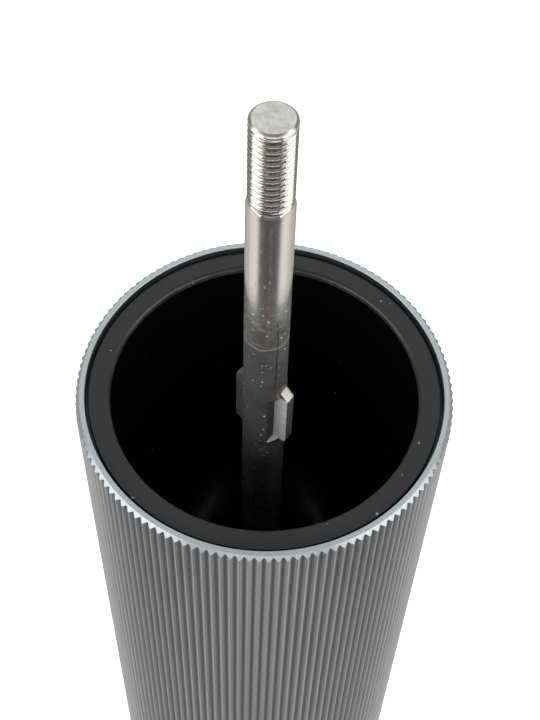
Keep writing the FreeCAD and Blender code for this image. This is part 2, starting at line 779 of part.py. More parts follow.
def thread(body):
    """A right-hand thread cut from below its lead-in to past the end."""
    root = "thread_root / 2"
    reach = "spindle_width / 2 + 0.1"
    start = "thread_low + thread_pitch * 0.2"
    # a 60 degree V opens 0.577 mm to each side for each millimetre that it deepens
    half = f"(({reach} - {root}) * tan(30deg))"
    cutter = outline(body, "thread_cutter", "XZ_Plane", [
        (root, f"{start} - thread_pitch / 16"),
        (root, f"{start} + thread_pitch / 16"),
        (reach, f"{start} + thread_pitch / 16 + {half}"),
        (reach, f"{start} - thread_pitch / 16 - {half}"),
    ])
    helix = body.newObject("PartDesign::SubtractiveHelix", "spindle_thread")
    helix.Profile = cutter
    helix.ReferenceAxis = (cutter, ["V_Axis"])
    helix.Mode = 0
    helix.setExpression("Pitch", formula("thread_pitch"))
    helix.setExpression("Height", formula("thread_length + thread_pitch * 0.6"))


# ---- clips and washers on the spindle ---------------------------------------

def washer(label, radius, low, thick):
    turned(label, [
        ("loose_hole_r", low),
        (radius, low),
        (radius, low + " + " + thick),
        ("loose_hole_r", low + " + " + thick),
    ])


def spring_clip(label, groove, radius, low, thick):
    """A flat E clip: an open ring with three inward prongs that reach the groove's floor."""
    rim = joined("Part::Cut", label + "_rim",
                 cylinder(label + "_outer", radius, low, thick),
                 cylinder(label + "_inner", radius + " - 1.3", low + " - 1", thick + " + 2"))
    across = block(label + "_across", "1 - " + radius, "2 * " + radius + " - 2", "0 - 0.8", "1.6",
                   low, thick)
    back = block(label + "_back", "0 - 0.9", "1.8", "0", radius + " - 0.6", low, thick)
    whole = fused(label + "_whole", [rim, across, back])
    grip = cylinder(label + "_grip", groove + " + stack_gap", low + " - 1", thick + " + 2")
    mouth = block(label + "_mouth", "0.3 - " + groove, "2 * " + groove + " - 0.6",
                  "0 - 2 * " + radius, "2 * " + radius, low + " - 1", thick + " + 2")
    opening = fused(label + "_opening", [grip, mouth])
    clip = name_node(label, joined("Part::Cut", label, whole, opening))
    turn_with_spindle(clip)


# ---- spring, cage, spider and bush -------------------------------------------

def spring_cage():
    body = turned("spring_cage", [
        ("loose_hole_r", "cage_low"),
        ("cage_r", "cage_low"),
        ("cage_r", "cage_top"),
        ("cage_in_r", "cage_top"),
        ("cage_in_r", "cage_seat"),
        ("loose_hole_r", "cage_seat"),
    ])
    foot = rectangle(body, "prong", "prong_in_r", "cage_r", "0 - prong_width / 2",
                     "prong_width / 2", "cage_seat")
    around(body, [pad(body, foot, "cage_rim + prong_length")], foot, "2")


def grind_spring():
    body = new_body("grind_spring")
    wire = circle(body, "wire", "XZ_Plane", "spring_wire / 2", "0", "spring_r", "cage_seat")
    helix = body.newObject("PartDesign::AdditiveHelix", "grind_spring_coil")
    helix.Profile = wire
    helix.ReferenceAxis = (wire, ["V_Axis"])
    helix.Mode = 0
    helix.setExpression("Pitch", formula("spring_length / spring_turns"))
    helix.setExpression("Height", formula("spring_length"))
    for name, height, up in (("low_end", "cage_seat", False), ("high_end", "boss_low", True)):
        ground = circle(body, name, "XY_Plane", "2 * cage_r", height)
        pocket(body, ground, "2 * spring_wire", up=up)


def bearing_spider():
    body = turned("bearing_spider", [
        ("feed_r", "plug_top"),
        ("plug_r", "plug_top"),
        ("plug_r", "spider_top"),
        ("plug_r - push_gap", "spider_top"),
        ("feed_r", "spider_top - spider_ring_slope"),
    ])
    arm = rectangle(body, "arm", "0 + bush_r", "feed_r + spider_ring / 3", "0 - arm_width / 2",
                    "arm_width / 2", "arm_low", turn=90)
    around(body, [pad(body, arm, "spider_top - spider_ring_slope - arm_low")], arm, "3")
    boss = circle(body, "boss", "XY_Plane", "boss_r", "boss_low")
    pad(body, boss, "boss_height")
    bore = circle(body, "bore", "XY_Plane", "bush_r + push_gap", "boss_low")
    pocket(body, bore)
    notch = rectangle(body, "notch", "notch_r", "boss_r + 1",
                      "0 - prong_width / 2 - slide_gap", "prong_width / 2 + slide_gap",
                      "boss_low - 1")
    around(body, [pocket(body, notch, "boss_height + 2", up=True)], notch, "2")
    sink = circle(body, "sink", "XY_Plane", "spider_screw_head / 2 + push_gap", "spider_screw_seat",
                  "spider_screw_r", turn=30)
    around(body, [pocket(body, sink, "spider_screw_sink + spider_ring_slope", up=True)], sink, "3")
    hole = circle(body, "hole", "XY_Plane", "spider_screw_shank / 2 + push_gap", "plug_top",
                  "spider_screw_r", turn=30)
    around(body, [pocket(body, hole)], hole, "3")


def spindle_bush():
    turned("spindle_bush", [
        ("bush_bore_r", "boss_low"),
        ("bush_r", "boss_low"),
        ("bush_r", "boss_top"),
        ("bush_flange_r", "boss_top"),
        ("bush_flange_r", "bush_top"),
        ("bush_bore_r", "bush_top"),
    ])


# ---- build, check and write --------------------------------------------------

def build():
    fill_sheet()
    fluted_sleeve()
    rim_collar()
    cord_ring("collar_seal", "collar_seal_z")
    chamber_liner()
    base_ring()
    cord_ring("base_seal", "base_seal_z")
    foot_ring()
    screws("base_screw", 0, "base_screw_r", "base_screw_seat", up=True)
    burr_housing()
    ring_burr()
    burr_retainer()
    cone_burr()
    burr_core()
    spindle()
    washer("core_washer", "core_washer_r", "core_washer_low", "core_washer_thick")
    washer("thrust_washer", "thrust_washer_r", "core_top", "thrust_washer_thick")
    washer("stop_washer", "stop_washer_r", "stop_washer_low", "stop_washer_thick")
    spring_clip("core_clip", "core_groove_r", "core_clip_r", "core_clip_low", "core_clip_thick")
    spring_clip("stop_clip", "stop_groove_r", "stop_clip_r", "stop_clip_low", "stop_clip_thick")
    spring_cage()
    grind_spring()
    bearing_spider()
    screws("spider_screw", 30, "spider_screw_r", "spider_screw_seat", up=False)
    spindle_bush()
    doc.recompute()


def faults():
    """Every failed object and every sub-part that isn't one or more sound closed solids."""
    found = [f"{o.Name}: {o.State}" for o in doc.Objects
             if "Invalid" in o.State or "Error" in o.State]
    for label, node in nodes.items():
        shape = node.Shape
        if shape.isNull() or not shape.isValid() or not shape.Solids or shape.Volume <= 0:
            found.append(f"{label}: no sound solid")
    return found


def write_parts():
    os.makedirs("parts", exist_ok=True)
    for label, node in nodes.items():
        node.Shape.exportStep(f"parts/{label}.step")
        print(f"{label:16} {len(node.Shape.Solids)} solid(s) {node.Shape.Volume:10.2f} mm3")


build()
problems = faults()
if problems:
    raise RuntimeError("; ".join(problems))
write_parts()
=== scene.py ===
import bpy
import json
import math
from mathutils import Matrix, Vector


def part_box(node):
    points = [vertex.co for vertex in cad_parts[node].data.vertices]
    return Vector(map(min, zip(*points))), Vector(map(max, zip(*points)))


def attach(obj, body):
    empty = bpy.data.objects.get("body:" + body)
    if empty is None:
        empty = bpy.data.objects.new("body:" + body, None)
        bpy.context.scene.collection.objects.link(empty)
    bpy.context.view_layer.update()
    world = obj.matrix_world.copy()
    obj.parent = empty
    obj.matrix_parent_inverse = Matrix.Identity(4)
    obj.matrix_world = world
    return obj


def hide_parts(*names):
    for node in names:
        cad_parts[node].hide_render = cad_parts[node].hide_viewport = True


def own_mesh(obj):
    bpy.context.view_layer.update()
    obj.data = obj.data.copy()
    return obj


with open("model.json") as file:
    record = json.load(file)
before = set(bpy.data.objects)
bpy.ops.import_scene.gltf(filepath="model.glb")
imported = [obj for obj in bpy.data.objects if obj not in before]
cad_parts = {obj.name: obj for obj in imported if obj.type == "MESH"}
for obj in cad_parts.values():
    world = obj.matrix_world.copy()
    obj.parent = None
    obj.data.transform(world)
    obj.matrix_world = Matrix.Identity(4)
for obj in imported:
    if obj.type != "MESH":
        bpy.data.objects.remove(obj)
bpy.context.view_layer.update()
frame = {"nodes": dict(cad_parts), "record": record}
mm = 0.001
nodes = frame["nodes"]
slotOf = {part["node"]: part["material_slot"] for part in frame["record"]["subparts"]}
mountAt = {mount["name"]: Vector(mount["pos_m"]) / mm for mount in frame["record"]["mounts"]}
print("frame loaded:", len(nodes), "nodes")


# a node's lowest and highest corner in millimetres
def boxMm(name):
    low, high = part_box(name)
    return Vector(low) / mm, Vector(high) / mm


rimHeight = boxMm("fluted_sleeve")[1].z
crestRadius = boxMm("fluted_sleeve")[1].x


# 0 below low, 1 above high, and smooth between
def ease(value, low, high):
    part = min(max((value - low) / (high - low), 0.0), 1.0)
    return part * part * (3 - 2 * part)


# corners are (radius, height, rounding); a rounded one becomes an arc
def softProfile(corners, steps=6):
    line = []
    for i, (across, up, rounding) in enumerate(corners):
        here = Vector((across, up))
        if not rounding:
            line.append(tuple(here))
            continue
        back = (Vector(corners[i - 1][:2]) - here).normalized()
        ahead = (Vector(corners[(i + 1) % len(corners)][:2]) - here).normalized()
        half = back.angle(ahead) / 2
        centre = here + (back + ahead).normalized() * rounding / math.sin(half)
        first = here + back * rounding / math.tan(half) - centre
        last = here + ahead * rounding / math.tan(half) - centre
        for step in range(steps + 1):
            line.append(tuple(centre + first.lerp(last, step / steps).normalized() * rounding))
    return line


# rows of points joined into quads all the way round; a loop joins the last row to the first
def joinRows(rows, loop=False):
    count = len(rows[0])
    faces = []
    for i in range(len(rows) if loop else len(rows) - 1):
        low, high = i * count, (i + 1) % len(rows) * count
        for j in range(count):
            k = (j + 1) % count
            faces.append((low + j, low + k, high + k, high + j))
    return [point for row in rows for point in row], faces


def turnRow(radius, height, count):
    angles = [2 * math.pi * i / count for i in range(count)]
    return [(radius * math.cos(a), radius * math.sin(a), height) for a in angles]


# a mesh piece that stands for a CAD node and rides where it does
def makePiece(name, node, body, points, faces, sharp=32):
    mesh = bpy.data.meshes.new(name)
    mesh.from_pydata([[v * mm for v in point] for point in points], [], faces)
    mesh.shade_smooth()
    mesh.set_sharp_from_angle(angle=math.radians(sharp))
    mesh.materials.append(finishes[slotOf[node]])
    piece = bpy.data.objects.new(name, mesh)
    bpy.context.scene.collection.objects.link(piece)
    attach(piece, body)
    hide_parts(node)
    return piece


def addNode(tree, kind, place=(0, 0), **values):
    node = tree.nodes.new(kind)
    node.location = place
    for name, value in values.items():
        setattr(node, name, value)
    return node


def newGroup(name, inputs, outputs):
    group = bpy.data.node_groups.new(name, "ShaderNodeTree")
    group.interface.new_socket(name="Vector", in_out="INPUT", socket_type="NodeSocketVector")
    for label, default in inputs.items():
        socket = group.interface.new_socket(name=label, in_out="INPUT", socket_type="NodeSocketFloat")
        socket.default_value = default
    for label in outputs:
        group.interface.new_socket(name=label, in_out="OUTPUT", socket_type="NodeSocketFloat")
    start = addNode(group, "NodeGroupInput", (-900, 0))
    end = addNode(group, "NodeGroupOutput", (900, 0))
    return group, start.outputs, end.inputs


# a maths node; each value is a number or another node's output
def maths(tree, operation, *values, place=(0, 0), clamp=False):
    node = addNode(tree, "ShaderNodeMath", place, operation=operation, use_clamp=clamp)
    for socket, value in zip(node.inputs, values):
        if isinstance(value, (int, float)):
            socket.default_value = value
        else:
            tree.links.new(value, socket)
    return node.outputs[0]


def times(tree, first, second, place):
    return maths(tree, "MULTIPLY", first, second, place=place)


def rampTo(tree, value, low, high, place=(0, 0), first=0.0, last=1.0):
    node = addNode(tree, "ShaderNodeMapRange", place, interpolation_type="SMOOTHSTEP")
    for label, number in (("From Min", low), ("From Max", high), ("To Min", first), ("To Max", last)):
        node.inputs[label].default_value = number
    tree.links.new(value, node.inputs["Value"])
    return node.outputs["Result"]


def noiseAt(tree, vector, scale, detail=2.0, place=(0, 0)):
    noise = addNode(tree, "ShaderNodeTexNoise", place)
    noise.inputs["Detail"].default_value = detail
    tree.links.new(vector, noise.inputs["Vector"])
    if isinstance(scale, (int, float)):
        noise.inputs["Scale"].default_value = scale
    else:
        tree.links.new(scale, noise.inputs["Scale"])
    return noise.outputs["Fac"]


def stretched(tree, vector, x, y, z, place=(0, 0)):
    node = addNode(tree, "ShaderNodeVectorMath", place, operation="MULTIPLY")
    tree.links.new(vector, node.inputs[0])
    node.inputs[1].default_value = (x, y, z)
    return node.outputs[0]


def splitUp(tree, vector, place):
    node = addNode(tree, "ShaderNodeSeparateXYZ", place)
    tree.links.new(vector, node.inputs[0])
    return node.outputs


# how far from the Z axis, in the vector's own unit
def fromAxis(tree, vector, place):
    node = addNode(tree, "ShaderNodeVectorMath", place, operation="LENGTH")
    tree.links.new(stretched(tree, vector, 1.0, 1.0, 0.0, (place[0] - 200, place[1])), node.inputs[0])
    return node.outputs["Value"]


# specks of dust and salt: few, uneven, some much larger than others
def makeDust():
    group, source, out = newGroup("dustSpecks", {"Cell mm": 1.6, "Size": 0.1, "Share": 0.3}, ["Mask"])
    cells = addNode(group, "ShaderNodeTexVoronoi", (-500, 100))
    group.links.new(source["Vector"], cells.inputs["Vector"])
    group.links.new(maths(group, "DIVIDE", 1.0, source["Cell mm"], place=(-700, 100)), cells.inputs["Scale"])
    pick = addNode(group, "ShaderNodeSeparateColor", (-300, -100))
    group.links.new(cells.outputs["Color"], pick.inputs["Color"])
    uneven = maths(group, "POWER", pick.outputs["Green"], 2.0, place=(-150, 0))
    radius = times(group, uneven, source["Size"], (0, 0))
    inside = maths(group, "LESS_THAN", cells.outputs["Distance"], radius, place=(150, 100))
    chosen = maths(group, "LESS_THAN", pick.outputs["Red"], source["Share"], place=(150, -100))
    group.links.new(times(group, inside, chosen, (400, 0)), out["Mask"])
    return group


# thin marks along Z, broken up by a slower noise
def makeScratches():
    group, source, out = newGroup("longScratches", {"Across": 6.0, "Along": 0.12, "Width": 0.02}, ["Mask"])
    stretch = addNode(group, "ShaderNodeCombineXYZ", (-700, 0))
    for axis, label in (("X", "Across"), ("Y", "Across"), ("Z", "Along")):
        group.links.new(source[label], stretch.inputs[axis])
    scaled = addNode(group, "ShaderNodeVectorMath", (-500, 0), operation="MULTIPLY")
    group.links.new(source["Vector"], scaled.inputs[0])
    group.links.new(stretch.outputs["Vector"], scaled.inputs[1])
    level = noiseAt(group, scaled.outputs[0], 1.0, 3.0, (-300, 0))
    level = maths(group, "SUBTRACT", level, 0.5, place=(-100, 0))
    level = maths(group, "ABSOLUTE", level, place=(50, 0))
    line = maths(group, "DIVIDE", level, source["Width"], place=(200, 0))
    mark = maths(group, "SUBTRACT", 1.0, line, place=(350, 0), clamp=True)
    breaks = rampTo(group, noiseAt(group, source["Vector"], 0.7, 2.0, (100, -300)), 0.42, 0.6, (300, -300))
    group.links.new(times(group, mark, breaks, (600, 0)), out["Mask"])
    return group


# cloudy unevenness and a fine grain, for plastic, rubber, ceramic and metal alike
def makeGrain():
    group, source, out = newGroup("surfaceGrain", {"Grain mm": 0.25, "Cloud mm": 12.0}, ["Grain", "Cloud"])
    for label, detail, height in (("Grain", 2.0, 150), ("Cloud", 4.0, -150)):
        scale = maths(group, "DIVIDE", 1.0, source[label + " mm"], place=(-600, height))
        group.links.new(noiseAt(group, source["Vector"], scale, detail, (-300, height)), out[label])
    return group


# turning marks: fine rings about Z, as a lathe leaves them
def makeTurning():
    group, source, out = newGroup("turningMarks", {"Pitch mm": 0.12}, ["Height"])
    travel = addNode(group, "ShaderNodeCombineXYZ", (0, 0))
    group.links.new(fromAxis(group, source["Vector"], (-500, 100)), travel.inputs["X"])
    group.links.new(splitUp(group, source["Vector"], (-500, -100))["Z"], travel.inputs["Z"])
    scale = maths(group, "DIVIDE", 1.0, source["Pitch mm"], place=(0, -200))
    group.links.new(noiseAt(group, travel.outputs[0], scale, 2.0, (200, 0)), out["Height"])
    return group


dustGroup = makeDust()
scratchGroup = makeScratches()
grainGroup = makeGrain()
turningGroup = makeTurning()


# a material with its shader and its own place in millimetres
def startMaterial(name, **shaderValues):
    material = bpy.data.materials.new(name)
    material.use_nodes = True
    tree = material.node_tree
    shader = tree.nodes["Principled BSDF"]
    shader.location = (900, 0)
    tree.nodes["Material Output"].location = (1200, 0)
    for label, value in shaderValues.items():
        shader.inputs[label.replace("_", " ")].default_value = value
    coords = addNode(tree, "ShaderNodeTexCoord", (-1300, 0))
    scaled = addNode(tree, "ShaderNodeVectorMath", (-1100, 0), operation="SCALE")
    scaled.inputs["Scale"].default_value = 1 / mm
    tree.links.new(coords.outputs["Object"], scaled.inputs[0])
    return material, tree, shader, scaled.outputs[0]


def useGroup(tree, group, vector, place, **values):
    node = addNode(tree, "ShaderNodeGroup", place, node_tree=group)
    tree.links.new(vector, node.inputs["Vector"])
    for label, value in values.items():
        node.inputs[label.replace("_", " ")].default_value = value
    return node.outputs


# the mask of a look's own dust
def dustOver(tree, vector, look):
    return useGroup(tree, dustGroup, vector, (-800, -100),
                    Cell_mm=look["cell"], Size=look["speck"], Share=look["share"])["Mask"]


# a blend of two colours, or of another node's colour and one
def blendColour(tree, factor, first, second, place):
    node = addNode(tree, "ShaderNodeMix", place, data_type="RGBA")
    tree.links.new(factor, node.inputs["Factor"])
    for socket, value in ((node.inputs[6], first), (node.inputs[7], second)):
        if isinstance(value, (tuple, list)):
            socket.default_value = (*value[:3], 1)
        else:
            tree.links.new(value, socket)
    return node.outputs[2]


def addBump(tree, shader, height, depth, place, strength=1.0):
    node = addNode(tree, "ShaderNodeBump", place)
    node.inputs["Distance"].default_value = depth * mm
    node.inputs["Strength"].default_value = strength
    tree.links.new(height, node.inputs["Height"])
    tree.links.new(node.outputs["Normal"], shader.inputs["Normal"])


# smoother round the bore, where the head's plug slides in, and paler there: the paler colour is a painted
# highlight on the rounded bore edge
nylonLook = {"colour": (0.011, 0.011, 0.012), "pale": (0.017, 0.017, 0.019), "dust": (0.4, 0.39, 0.37),
             "rubbedAndPaintedHighlight": (0.075, 0.072, 0.07), "rubbedAndHighlightRadii": (22.6, 22.9), "rubbedAndHighlightDrops": (2.0, 1.7),
             "rubbedRoughness": -0.17, "roughness": 0.33, "cell": 1.3, "speck": 0.16, "share": 0.38}


def blackNylon():
    look = nylonLook
    material, tree, shader, place = startMaterial("blackNylon")
    grain = useGroup(tree, grainGroup, place, (-800, 200), Grain_mm=0.18, Cloud_mm=9.0)
    dust = dustOver(tree, place, look)
    radius = fromAxis(tree, place, (-900, -500))
    rubbedAndPaintedHighlight = rampTo(tree, radius, *look["rubbedAndHighlightRadii"], (-700, -500), 1.0, 0.0)
    height = splitUp(tree, place, (-900, -700))["Z"]
    low, high = (rimHeight - drop for drop in look["rubbedAndHighlightDrops"])
    rubbedAndPaintedHighlight = times(tree, rubbedAndPaintedHighlight, rampTo(tree, height, low, high, (-700, -700)), (-500, -500))
    patches = noiseAt(tree, place, 0.5, 3.0, (-700, -900))
    rubbedAndPaintedHighlight = times(tree, rubbedAndPaintedHighlight, rampTo(tree, patches, 0.3, 0.7, (-500, -900), 0.5, 1.0), (-300, -500))
    base = blendColour(tree, grain["Cloud"], look["colour"], look["pale"], (-400, 200))
    # painted highlight: the band round the bore edge takes a paler colour
    base = blendColour(tree, rubbedAndPaintedHighlight, base, look["rubbedAndPaintedHighlight"], (-250, 200))
    base = blendColour(tree, dust, base, look["dust"], (-100, 200))
    tree.links.new(base, shader.inputs["Base Color"])
    rough = maths(tree, "MULTIPLY_ADD", grain["Cloud"], 0.2, look["roughness"] - 0.1, place=(-400, -100))
    rough = maths(tree, "MULTIPLY_ADD", rubbedAndPaintedHighlight, look["rubbedRoughness"], rough, place=(-200, -100))
    tree.links.new(rough, shader.inputs["Roughness"])
    addBump(tree, shader, grain["Grain"], 0.004, (300, -300), 0.5)
    return material


glossLook = {"colour": (0.0036, 0.0028, 0.0029), "dust": (0.25, 0.24, 0.23), "roughness": 0.16,
             "cell": 2.4, "speck": 0.1, "share": 0.22}


def glossBlack():
    look = glossLook
    material, tree, shader, place = startMaterial("glossBlack", Specular_IOR_Level=0.18)
    grain = useGroup(tree, grainGroup, place, (-800, 200), Grain_mm=0.8, Cloud_mm=16.0)
    dust = dustOver(tree, place, look)
    colour = blendColour(tree, dust, look["colour"], look["dust"], (-100, 200))
    tree.links.new(colour, shader.inputs["Base Color"])
    rough = maths(tree, "MULTIPLY_ADD", grain["Cloud"], 0.06, look["roughness"], place=(-400, -100))
    tree.links.new(rough, shader.inputs["Roughness"])
    return material


# anodised flutes with painted shade darkening their valleys, and a brighter cut rim and chamfer: a paler
# colour on upward faces that is partly bare cut metal and partly painted highlight
# the valley colour is painted shade for the flute roots; the cut colour, on upward faces, is partly painted
# highlight
aluLook = {"colour": (0.43, 0.432, 0.436), "pale": (0.53, 0.532, 0.538), "paintedValleyShade": (0.24, 0.241, 0.244),
           "cut": (0.53, 0.56, 0.57), "dust": (0.85, 0.85, 0.84), "roughness": 0.42, "cutRoughness": -0.12,
           "paintedValleyShadeDepths": (0.42, 0.08), "cell": 3.0, "speck": 0.07, "share": 0.2}


def anodisedAluminium():
    look = aluLook
    material, tree, shader, place = startMaterial("anodisedAluminium", Metallic=0.88)
    grain = useGroup(tree, grainGroup, place, (-800, 300), Grain_mm=0.07, Cloud_mm=14.0)
    streaks = noiseAt(tree, stretched(tree, place, 3.0, 3.0, 0.04, (-900, 0)), 1.0, 2.0, (-700, 0))
    dust = dustOver(tree, place, look)
    surface = addNode(tree, "ShaderNodeNewGeometry", (-1100, -500))
    upward = splitUp(tree, surface.outputs["True Normal"], (-900, -500))["Z"]
    # painted highlight: faces turned upward take the paler cut colour, standing partly for bare cut metal
    # and partly for light from above
    cut = rampTo(tree, upward, 0.2, 0.4, (-700, -500))
    radius = fromAxis(tree, place, (-900, -800))
    deep, shallow = (crestRadius - depth for depth in look["paintedValleyShadeDepths"])
    # painted shade: the base colour darkens towards the flute roots, where shade falls
    crest = rampTo(tree, radius, deep, shallow, (-700, -800))
    base = blendColour(tree, streaks, look["colour"], look["pale"], (-400, 200))
    base = blendColour(tree, crest, look["paintedValleyShade"], base, (-325, 200))
    base = blendColour(tree, cut, base, look["cut"], (-250, 200))
    base = blendColour(tree, dust, base, look["dust"], (-100, 200))
    tree.links.new(base, shader.inputs["Base Color"])
    rough = maths(tree, "MULTIPLY_ADD", grain["Grain"], 0.12, look["roughness"] - 0.06, place=(-400, -100))
    rough = maths(tree, "MULTIPLY_ADD", cut, look["cutRoughness"], rough, place=(-200, -100))
    tree.links.new(rough, shader.inputs["Roughness"])
    addBump(tree, shader, grain["Grain"], 0.004, (300, -300), 0.5)
    return material


# polished at the end that shows most, and dulled by salt and handling lower down
steelLook = {"colour": (0.68, 0.655, 0.615), "dull": (0.41, 0.395, 0.38), "stain": (0.36, 0.27, 0.23),
             "rust": (0.34, 0.13, 0.11), "salt": (0.92, 0.92, 0.9), "sawn": (0.74, 0.70, 0.655),
             "seam": (0.03, 0.03, 0.03), "chalk": (0.62, 0.62, 0.6), "mottle": (0.84, 1.06),
             "stainShare": 0.7, "roughness": 0.09, "markRoughness": 0.16, "dullRoughness": 0.24,
             "sawnRoughness": 0.16, "saltRoughness": 0.5, "dullHeights": (163.0, 176.0),
             "sawnDrops": (0.36, 0.3), "dullMetal": 0.3}
# lines down the shaft: where each stands in degrees, from and to which height, and how wide
rustStreak = {"angle": -86.0, "heights": (160.0, 186.0), "width": 0.2, "strength": 0.7}
seamLine = {"angle": -61.0, "heights": (148.0, 166.0), "width": 0.12, "strength": 0.8}
# a chalky tide mark round the shaft, and the smear above it
chalkMark = {"height": 159.3, "wave": 1.3, "edges": (0.06, 0.16), "ringStrength": 0.6, "smearStrength": 0.28}


# X and Y added up, each times its own share
def mixAxes(tree, split, xShare, yShare, place):
    across = times(tree, split["X"], xShare, place)
    return maths(tree, "MULTIPLY_ADD", split["Y"], yShare, across, place=place)


# a thin wavy line along Z at one angle, between two heights
def lineAlong(tree, split, wander, plan, place):
    turn = math.radians(plan["angle"])
    low, high = plan["heights"]
    aside = mixAxes(tree, split, -math.sin(turn), math.cos(turn), place)
    waver = maths(tree, "SUBTRACT", wander, 0.5, place=place)
    aside = maths(tree, "MULTIPLY_ADD", waver, 0.9, aside, place=place)
    aside = maths(tree, "ABSOLUTE", aside, place=place)
    line = rampTo(tree, aside, plan["width"] * 0.4, plan["width"], place, 1.0, 0.0)
    facing = mixAxes(tree, split, math.cos(turn), math.sin(turn), place)
    line = times(tree, line, rampTo(tree, facing, 1.0, 1.5, place), place)
    line = times(tree, line, rampTo(tree, split["Z"], low, low + 3, place), place)
    return times(tree, line, rampTo(tree, split["Z"], high - 1, high, place, 1.0, 0.0), place)


def chalkOn(tree, place, split, worn):
    plan = chalkMark
    wave = noiseAt(tree, stretched(tree, place, 0.35, 0.35, 0.0, (-900, -1300)), 1.0, 2.0, (-700, -1300))
    wave = maths(tree, "SUBTRACT", wave, 0.5, place=(-500, -1300))
    level = maths(tree, "SUBTRACT", split["Z"], plan["height"], place=(-500, -1400))
    level = maths(tree, "MULTIPLY_ADD", wave, -plan["wave"], level, place=(-300, -1300))
    ring = maths(tree, "ABSOLUTE", level, place=(-100, -1300))
    ring = rampTo(tree, ring, *plan["edges"], (0, -1300), plan["ringStrength"], 0.0)
    above = times(tree, rampTo(tree, level, 0.0, 0.3, (0, -1450)), worn, (200, -1450))
    smear = noiseAt(tree, stretched(tree, place, 0.6, 0.6, 1.5, (-900, -1550)), 1.0, 4.0, (-700, -1550))
    smear = rampTo(tree, smear, 0.5, 0.66, (-500, -1550), 0.0, plan["smearStrength"])
    smear = times(tree, smear, above, (400, -1500))
    chalk = maths(tree, "MAXIMUM", ring, smear, place=(600, -1300))
    return times(tree, chalk, worn, (700, -1300))


def polishedSteel():
    look = steelLook
    material, tree, shader, place = startMaterial("polishedSteel")
    fine = useGroup(tree, scratchGroup, place, (-900, 500), Across=4.5, Along=0.09, Width=0.018)
    coarse = useGroup(tree, scratchGroup, place, (-900, 300), Across=1.6, Along=0.02, Width=0.006)
    grain = useGroup(tree, grainGroup, place, (-900, 100), Grain_mm=0.3, Cloud_mm=3.5)
    rings = useGroup(tree, turningGroup, place, (-900, -100), Pitch_mm=0.08)
    salt = useGroup(tree, dustGroup, place, (-900, -300), Cell_mm=0.62, Size=0.3, Share=0.42)
    split = splitUp(tree, place, (-900, -500))
    worn = rampTo(tree, split["Z"], *look["dullHeights"], (-700, -500), 1.0, 0.0)
    film = times(tree, worn, rampTo(tree, grain["Cloud"], 0.25, 0.7, (-600, 100), 0.6, 1.0), (-400, 0))
    stain = times(tree, coarse["Mask"], look["stainShare"], (-200, 500))
    wander = noiseAt(tree, stretched(tree, place, 0.05, 0.05, 0.35, (-900, -700)), 1.0, 3.0, (-700, -700))
    broken = noiseAt(tree, place, 1.1, 3.0, (-700, -900))
    broken = rampTo(tree, broken, 0.4, 0.58, (-500, -900), 0.0, rustStreak["strength"])
    streak = times(tree, lineAlong(tree, split, wander, rustStreak, (-500, -700)), broken, (-300, -700))
    seam = lineAlong(tree, split, wander, seamLine, (-500, -1100))
    seam = times(tree, seam, seamLine["strength"], (50, 150))
    chalk = chalkOn(tree, place, split, worn)
    low, high = (boxMm("spindle")[1].z - drop for drop in look["sawnDrops"])
    sawn = rampTo(tree, split["Z"], low, high, (-500, -1700))
    mottle = rampTo(tree, noiseAt(tree, place, 0.9, 4.0, (-300, 700)), 0.35, 0.65, (-100, 700))
    darker, paler = ([v * share for v in look["sawn"]] for share in look["mottle"])
    worked = blendColour(tree, mottle, darker, paler, (50, 500))
    speckled = rampTo(tree, grain["Cloud"], 0.4, 0.6, (-400, -300), 0.3, 1.0)
    speckled = times(tree, salt["Mask"], speckled, (0, -200))
    speckled = times(tree, speckled, rampTo(tree, worn, 0.0, 0.5, (0, -300), 0.35, 1.0), (100, -200))

    base = blendColour(tree, film, look["colour"], look["dull"], (-200, 300))
    for mask, colour in ((stain, look["stain"]), (streak, look["rust"]), (seam, look["seam"]),
                         (sawn, worked), (chalk, look["chalk"]), (speckled, look["salt"])):
        base = blendColour(tree, mask, base, colour, (0, 300))
    tree.links.new(base, shader.inputs["Base Color"])

    rough = look["roughness"]
    for mask, share in ((fine["Mask"], "markRoughness"), (film, "dullRoughness"), (sawn, "sawnRoughness"),
                        (speckled, "saltRoughness")):
        rough = maths(tree, "MULTIPLY_ADD", mask, look[share], rough, place=(200, 0))
    tree.links.new(rough, shader.inputs["Roughness"])

    metal = maths(tree, "MULTIPLY_ADD", film, -look["dullMetal"], 1.0, place=(200, 100))
    covered = maths(tree, "MULTIPLY_ADD", streak, 0.6, chalk, place=(300, 50))
    covered = maths(tree, "ADD", speckled, covered, place=(350, 50))
    metal = maths(tree, "SUBTRACT", metal, covered, place=(500, 150), clamp=True)
    tree.links.new(metal, shader.inputs["Metallic"])
    relief = times(tree, rings["Height"], 0.3, (100, -400))
    relief = maths(tree, "SUBTRACT", relief, fine["Mask"], place=(300, -400))
    addBump(tree, shader, relief, 0.004, (600, -300), 0.5)
    return material


shearLook = {"colour": (0.99, 0.99, 0.97), "torn": (0.8, 0.81, 0.79), "roughness": 0.5, "slant": 0.5,
             "turn": -35.0}
